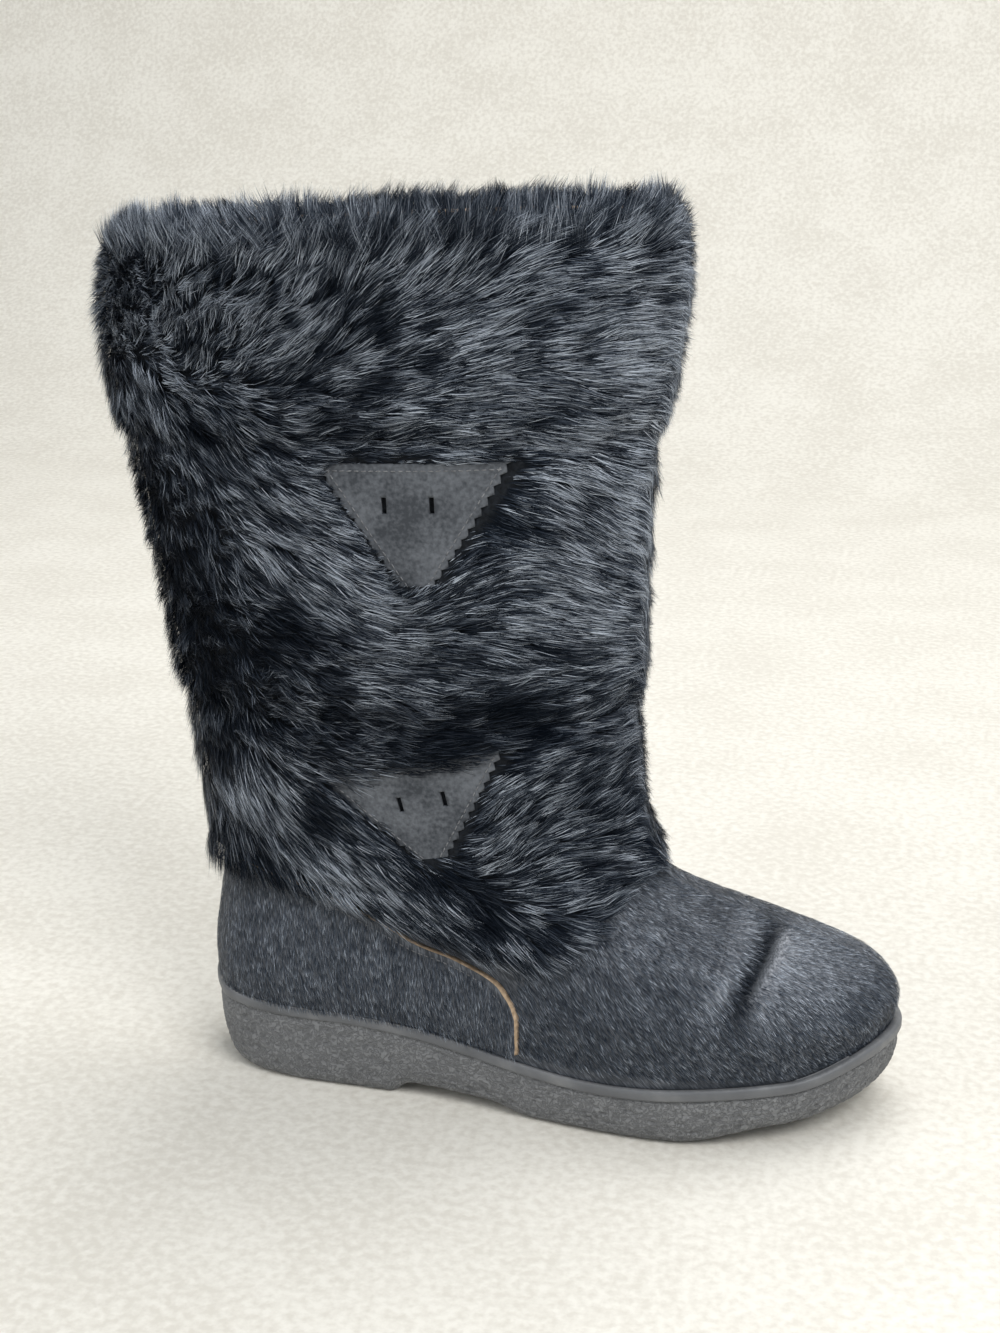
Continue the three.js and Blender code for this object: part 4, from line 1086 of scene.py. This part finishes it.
def patch_nearness(points, patches=PATCHES):
    """How far outside the nearest patch points of the outer side are, negative inside."""
    best = np.full(points.shape[:-1], 99.0)
    for patch in patches:
        _, across_share, up_share, tilt, wide, drop, _ = patch
        x = points[..., 0] + HEEL_MIDDLE - across_share * SOLE_LENGTH
        z = points[..., 2] - FOOT_HEIGHT - up_share * SHAFT_HEIGHT
        a = x * math.cos(tilt) + z * math.sin(tilt)
        b = -x * math.sin(tilt) + z * math.cos(tilt)
        half, foot, end = PATCH_WIDTH * wide / 2, -PATCH_DROP * drop, PATCH_TIP / 2
        slope = np.array([-foot, half - end]) / math.hypot(foot, half - end)
        flank = (np.abs(a) - half) * slope[0] - b * slope[1]
        best = np.minimum(best, np.maximum(np.maximum(b, foot - b), flank))
    return np.where(points[..., 1] < 0, best, 99.0)


def held_off(points, lay, reach, seed):
    """The reach of hairs, cut short where they would lie over a patch: the upper patch is clear
    but for a few tips, and the lower one has fur over its top and back corner."""
    for patch, spare in zip(PATCHES, (0.6, 5.5)):
        over = spare * (1.3 + waves(points, 6, seed))
        over = over + 1.5 * np.maximum(0, waves(points, 3, seed + 1))
        for step in np.arange(LONGEST_HAIR, 0, -1.0):
            inside = patch_nearness(points + lay * step, (patch,)) < 0
            reach = np.where(inside, np.minimum(reach, step + over), reach)
    return reach


pelt_column = np.linspace(0, COLUMNS, PELT_COLUMNS, endpoint=False)


def tier(name, low, high, top_depth, foot_depth, per_area, steps, seed, edge=None):
    """One strip of pelt: its underfur as a closed sleeve, and its guard hairs."""
    share = np.linspace(0, 1, steps)[:, None] * np.ones(PELT_COLUMNS)
    if edge is None:
        ring = np.linspace(low, high, steps)[:, None] * np.ones(PELT_COLUMNS)
    else:
        foot = edge(pelt_column)
        ring = foot + (high - foot) * share
    column = np.broadcast_to(pelt_column, ring.shape)
    bare = on_last(ring, column)
    near = patch_nearness(bare)
    depth = FUR_DEPTH * (foot_depth + (top_depth - foot_depth) * share ** 2) * 0.5
    depth = depth * np.clip(share * 9, 0.15, 1) * np.clip((1 - share) * 12 + 0.35, 0, 1)
    clump = waves(bare * (0.55, 1, 1), 8, seed)
    depth = depth + 1.5 * clump + 0.6 * waves(bare, 3, seed + 1)
    sunk = np.clip((near + 2) / 4, 0, 1)
    depth = 0.15 + np.maximum(depth - 0.15, 0.3) * sunk
    clear = GAP * 0.5
    if edge is not None:
        level = np.interp(bare[..., 0] + HEEL_MIDDLE, *counter_top.T, right=-9)
        clear = GAP + (COUNTER_THICKNESS + GAP) * np.clip((level + 6 - bare[..., 2]) / 5, 0, 1)
    outer = on_last(ring, column, clear + depth)
    inner = on_last(ring, column, clear)[::-3]
    pelt = loft(name + "_pelt", np.concatenate([outer, inner]), [underfur], True)
    skin = loft(name + "_skin", outer, [underfur])
    (angle, lift, length, tangle, light), _ = combed(bare)
    slow = waves(bare, 26, seed + 2)
    angle = angle + 16 * slow + 13 * waves(bare, 6, seed + 3)
    angle = angle + 85 * tangle * waves(bare, 5, seed + 4)
    from_ends = np.minimum(np.mod(column, STATIONS), STATIONS - np.mod(column, STATIONS))
    angle = np.radians(angle * np.clip(from_ends / 1.4, 0, 1))
    forward, up, out = frames(ring, column)
    lift = np.clip(lift + 0.16 * waves(bare, 9, seed + 5), 0.1, 0.95)
    lift = np.where(near < 9, np.minimum(lift, 0.2), lift)
    lay = combed_down(forward, up, angle)
    lay = lay * np.sqrt(1 - lift ** 2)[..., None] + out * lift[..., None]
    # Painted highlight and painted shade: the hair is painted lighter on the raised tufts and
    # darker in the gaps between them, over random tone.
    light = 1.12 * light * (1 + 1.0 * clump + 0.6 * waves(bare, 15, seed + 6) + 0.2 * slow)
    marks = {"lay": lay, "reach": held_off(bare, lay, HAIR_TRIM * length, seed + 8) * MM,
             "light": np.clip(light, 0.04, 1.7), "tangle": tangle,
             "cover": np.clip((near + 0.5) / 2, 0, 1)}
    hair = coated(name + "_hair", skin, marks, long_hair, per_area, GUARD_LOCKS, GUARD_WIDTH,
                  pull=0.52, scatter=0.18, sparkle=1.0, seed=seed)
    for piece in (pelt, hair):
        fitted(piece, "long_fur", name)


def fur_foot(column):
    """The ring at which the lowest tier ends at each column."""

    def under_fur(ring):
        x, _, z = on_last(ring, column).T
        return z < eased(FUR_EDGE, (x + HEEL_MIDDLE) / SOLE_LENGTH) * FOOT_HEIGHT + FUR_HANG

    return ring_where(under_fur, 1.0, 9.9, column.shape)


tier("fur_cuff", SEAM_CUFF, COLLAR, top_depth=0.8, foot_depth=1.15, per_area=2.5, steps=26,
     seed=11)
# The cuff's hair stands up over the collar's raw edge, leaning back at the heel side and forward
# at the toe side.
rim_rows = [on_last(COLLAR - 0.45 + 0.15 * k, pelt_column, 3.8 - 0.5 * k) for k in range(4)]
rim_rows.append(on_last(COLLAR, pelt_column, 0.9) + (0, 0, 1.2))
bare = np.array(rim_rows)
forward, up, out = frames(np.full((len(bare), 1), COLLAR - 0.2), pelt_column)
(_, _, _, _, light), along = combed(bare)
lean = np.radians(np.interp(along, [0, 0.3, 0.6, 1], [200, 212, 180, 150])
                  + 30 * waves(bare, 16, 71) + 30 * waves(bare, 5, 72))
splay = np.linspace(0.5, -0.35, len(bare))[:, None] + 0.3 * waves(bare, 8, 73)
lay = combed_down(forward, up, lean) + out * splay[..., None]
lay /= np.linalg.norm(lay, axis=-1, keepdims=True)
marks = {"lay": lay, "reach": (13 - bare[..., 1] / 10 + 4 * waves(bare, 10, 74)) * MM,
         "light": np.clip(light + 0.2 * waves(bare, 12, 75), 0.05, 1),
         "cover": np.ones(bare.shape[:2])}
rim_hair = coated("cuff_rim_hair", loft("rim_skin", rim_rows, []), marks, long_hair, 4.6,
                  GUARD_LOCKS, GUARD_WIDTH, pull=0.45, scatter=0.3, sparkle=0.8, seed=77)
fitted(rim_hair, "long_fur")

tier("fur_middle", SEAM_LOWER, SEAM_CUFF, top_depth=0.6, foot_depth=1.0, per_area=2.0,
     steps=32, seed=23)
tier("fur_lower", FUR_FOOT, SEAM_LOWER, top_depth=0.6, foot_depth=0.9, per_area=2.2, steps=30,
     seed=37, edge=fur_foot)


# The hair of the hide: short, straight and close, lying down and forward on the foot and nearly
# straight down on the counter.
COAT_LENGTH, COUNTER_COAT_LENGTH, COAT_LIFT = 4.0, 3.8, 0.17
COAT_WIDTH, COAT_LOCKS = 0.14, 0.2


def short_coat(name, skin, lay, out, reach, light, cover, per_area, seed):
    """Short hair that lies almost flat along lay."""
    marks = {"lay": lay * 0.985 + out * COAT_LIFT, "reach": np.full(light.shape, reach * MM),
             "light": light, "cover": cover}
    hair = coated(name, skin, marks, short_hair, per_area, COAT_LOCKS, COAT_WIDTH,
                  pull=0.2, scatter=0.14, sparkle=0.5, seed=seed)
    fitted(hair, "short_hide")


coat_ring, coat_column = np.meshgrid(np.arange(0.35, 8.6, 0.2), upper_turn, indexing="ij")
bare = on_last(coat_ring, coat_column)
skin = loft("foot_coat_skin",
            on_last(coat_ring, coat_column, swell(coat_ring, coat_column)), [])
forward, up, out = frames(coat_ring, coat_column)
x_back = bare[..., 0] + HEEL_MIDDLE
angle = np.radians(np.interp(x_back, [120, 180, 230, 275], [38, 45, 42, 30])
                   + 14 * waves(bare, 18, 3) + 8 * waves(bare, 5, 4))
top_of_fur = eased(FUR_EDGE, x_back / SOLE_LENGTH) * FOOT_HEIGHT + FUR_HANG + 5
# None grows under the fur or under the counter.
cover = (bare[..., 2] < top_of_fur) & ((x_back > 133) | (bare[..., 2] > 70))
# The foot's hair carries the same painted highlight and painted shade as the hide beneath it.
short_coat("foot_hair", skin, combed_down(forward, up, angle), out, COAT_LENGTH,
           1.1 * foot_painted_light(bare), cover, 2.6, 51)

points = counter_rows[:COUNTER_ROWS]
skin = mesh_object("counter_coat_skin", points,
                   quads(COUNTER_ROWS, COUNTER_COLUMNS, join_columns=False))
away, round_heel = np.gradient(points, axis=(0, 1))
away /= np.linalg.norm(away, axis=-1, keepdims=True)
out = np.cross(round_heel, away)
out /= np.linalg.norm(out, axis=-1, keepdims=True)
out *= np.sign(out[5, 5, 1])
forward = np.sign(swing_round)[None, :, None] * round_heel
forward /= np.linalg.norm(forward, axis=-1, keepdims=True)
angle = np.radians(14 + 12 * waves(points, 16, 8))
light = np.clip(0.70 + 0.12 * waves(points, 10, 9) + 0.12 * waves(points, 4, 10), 0.03, 1)
cover = np.ones(light.shape)
cover[-2:] = 0.2
short_coat("counter_hair", skin, combed_down(forward, away, angle), out, COUNTER_COAT_LENGTH,
           light, cover, 2.4, 61)

for blade in (long_hair, short_hair):
    bpy.data.objects.remove(blade)
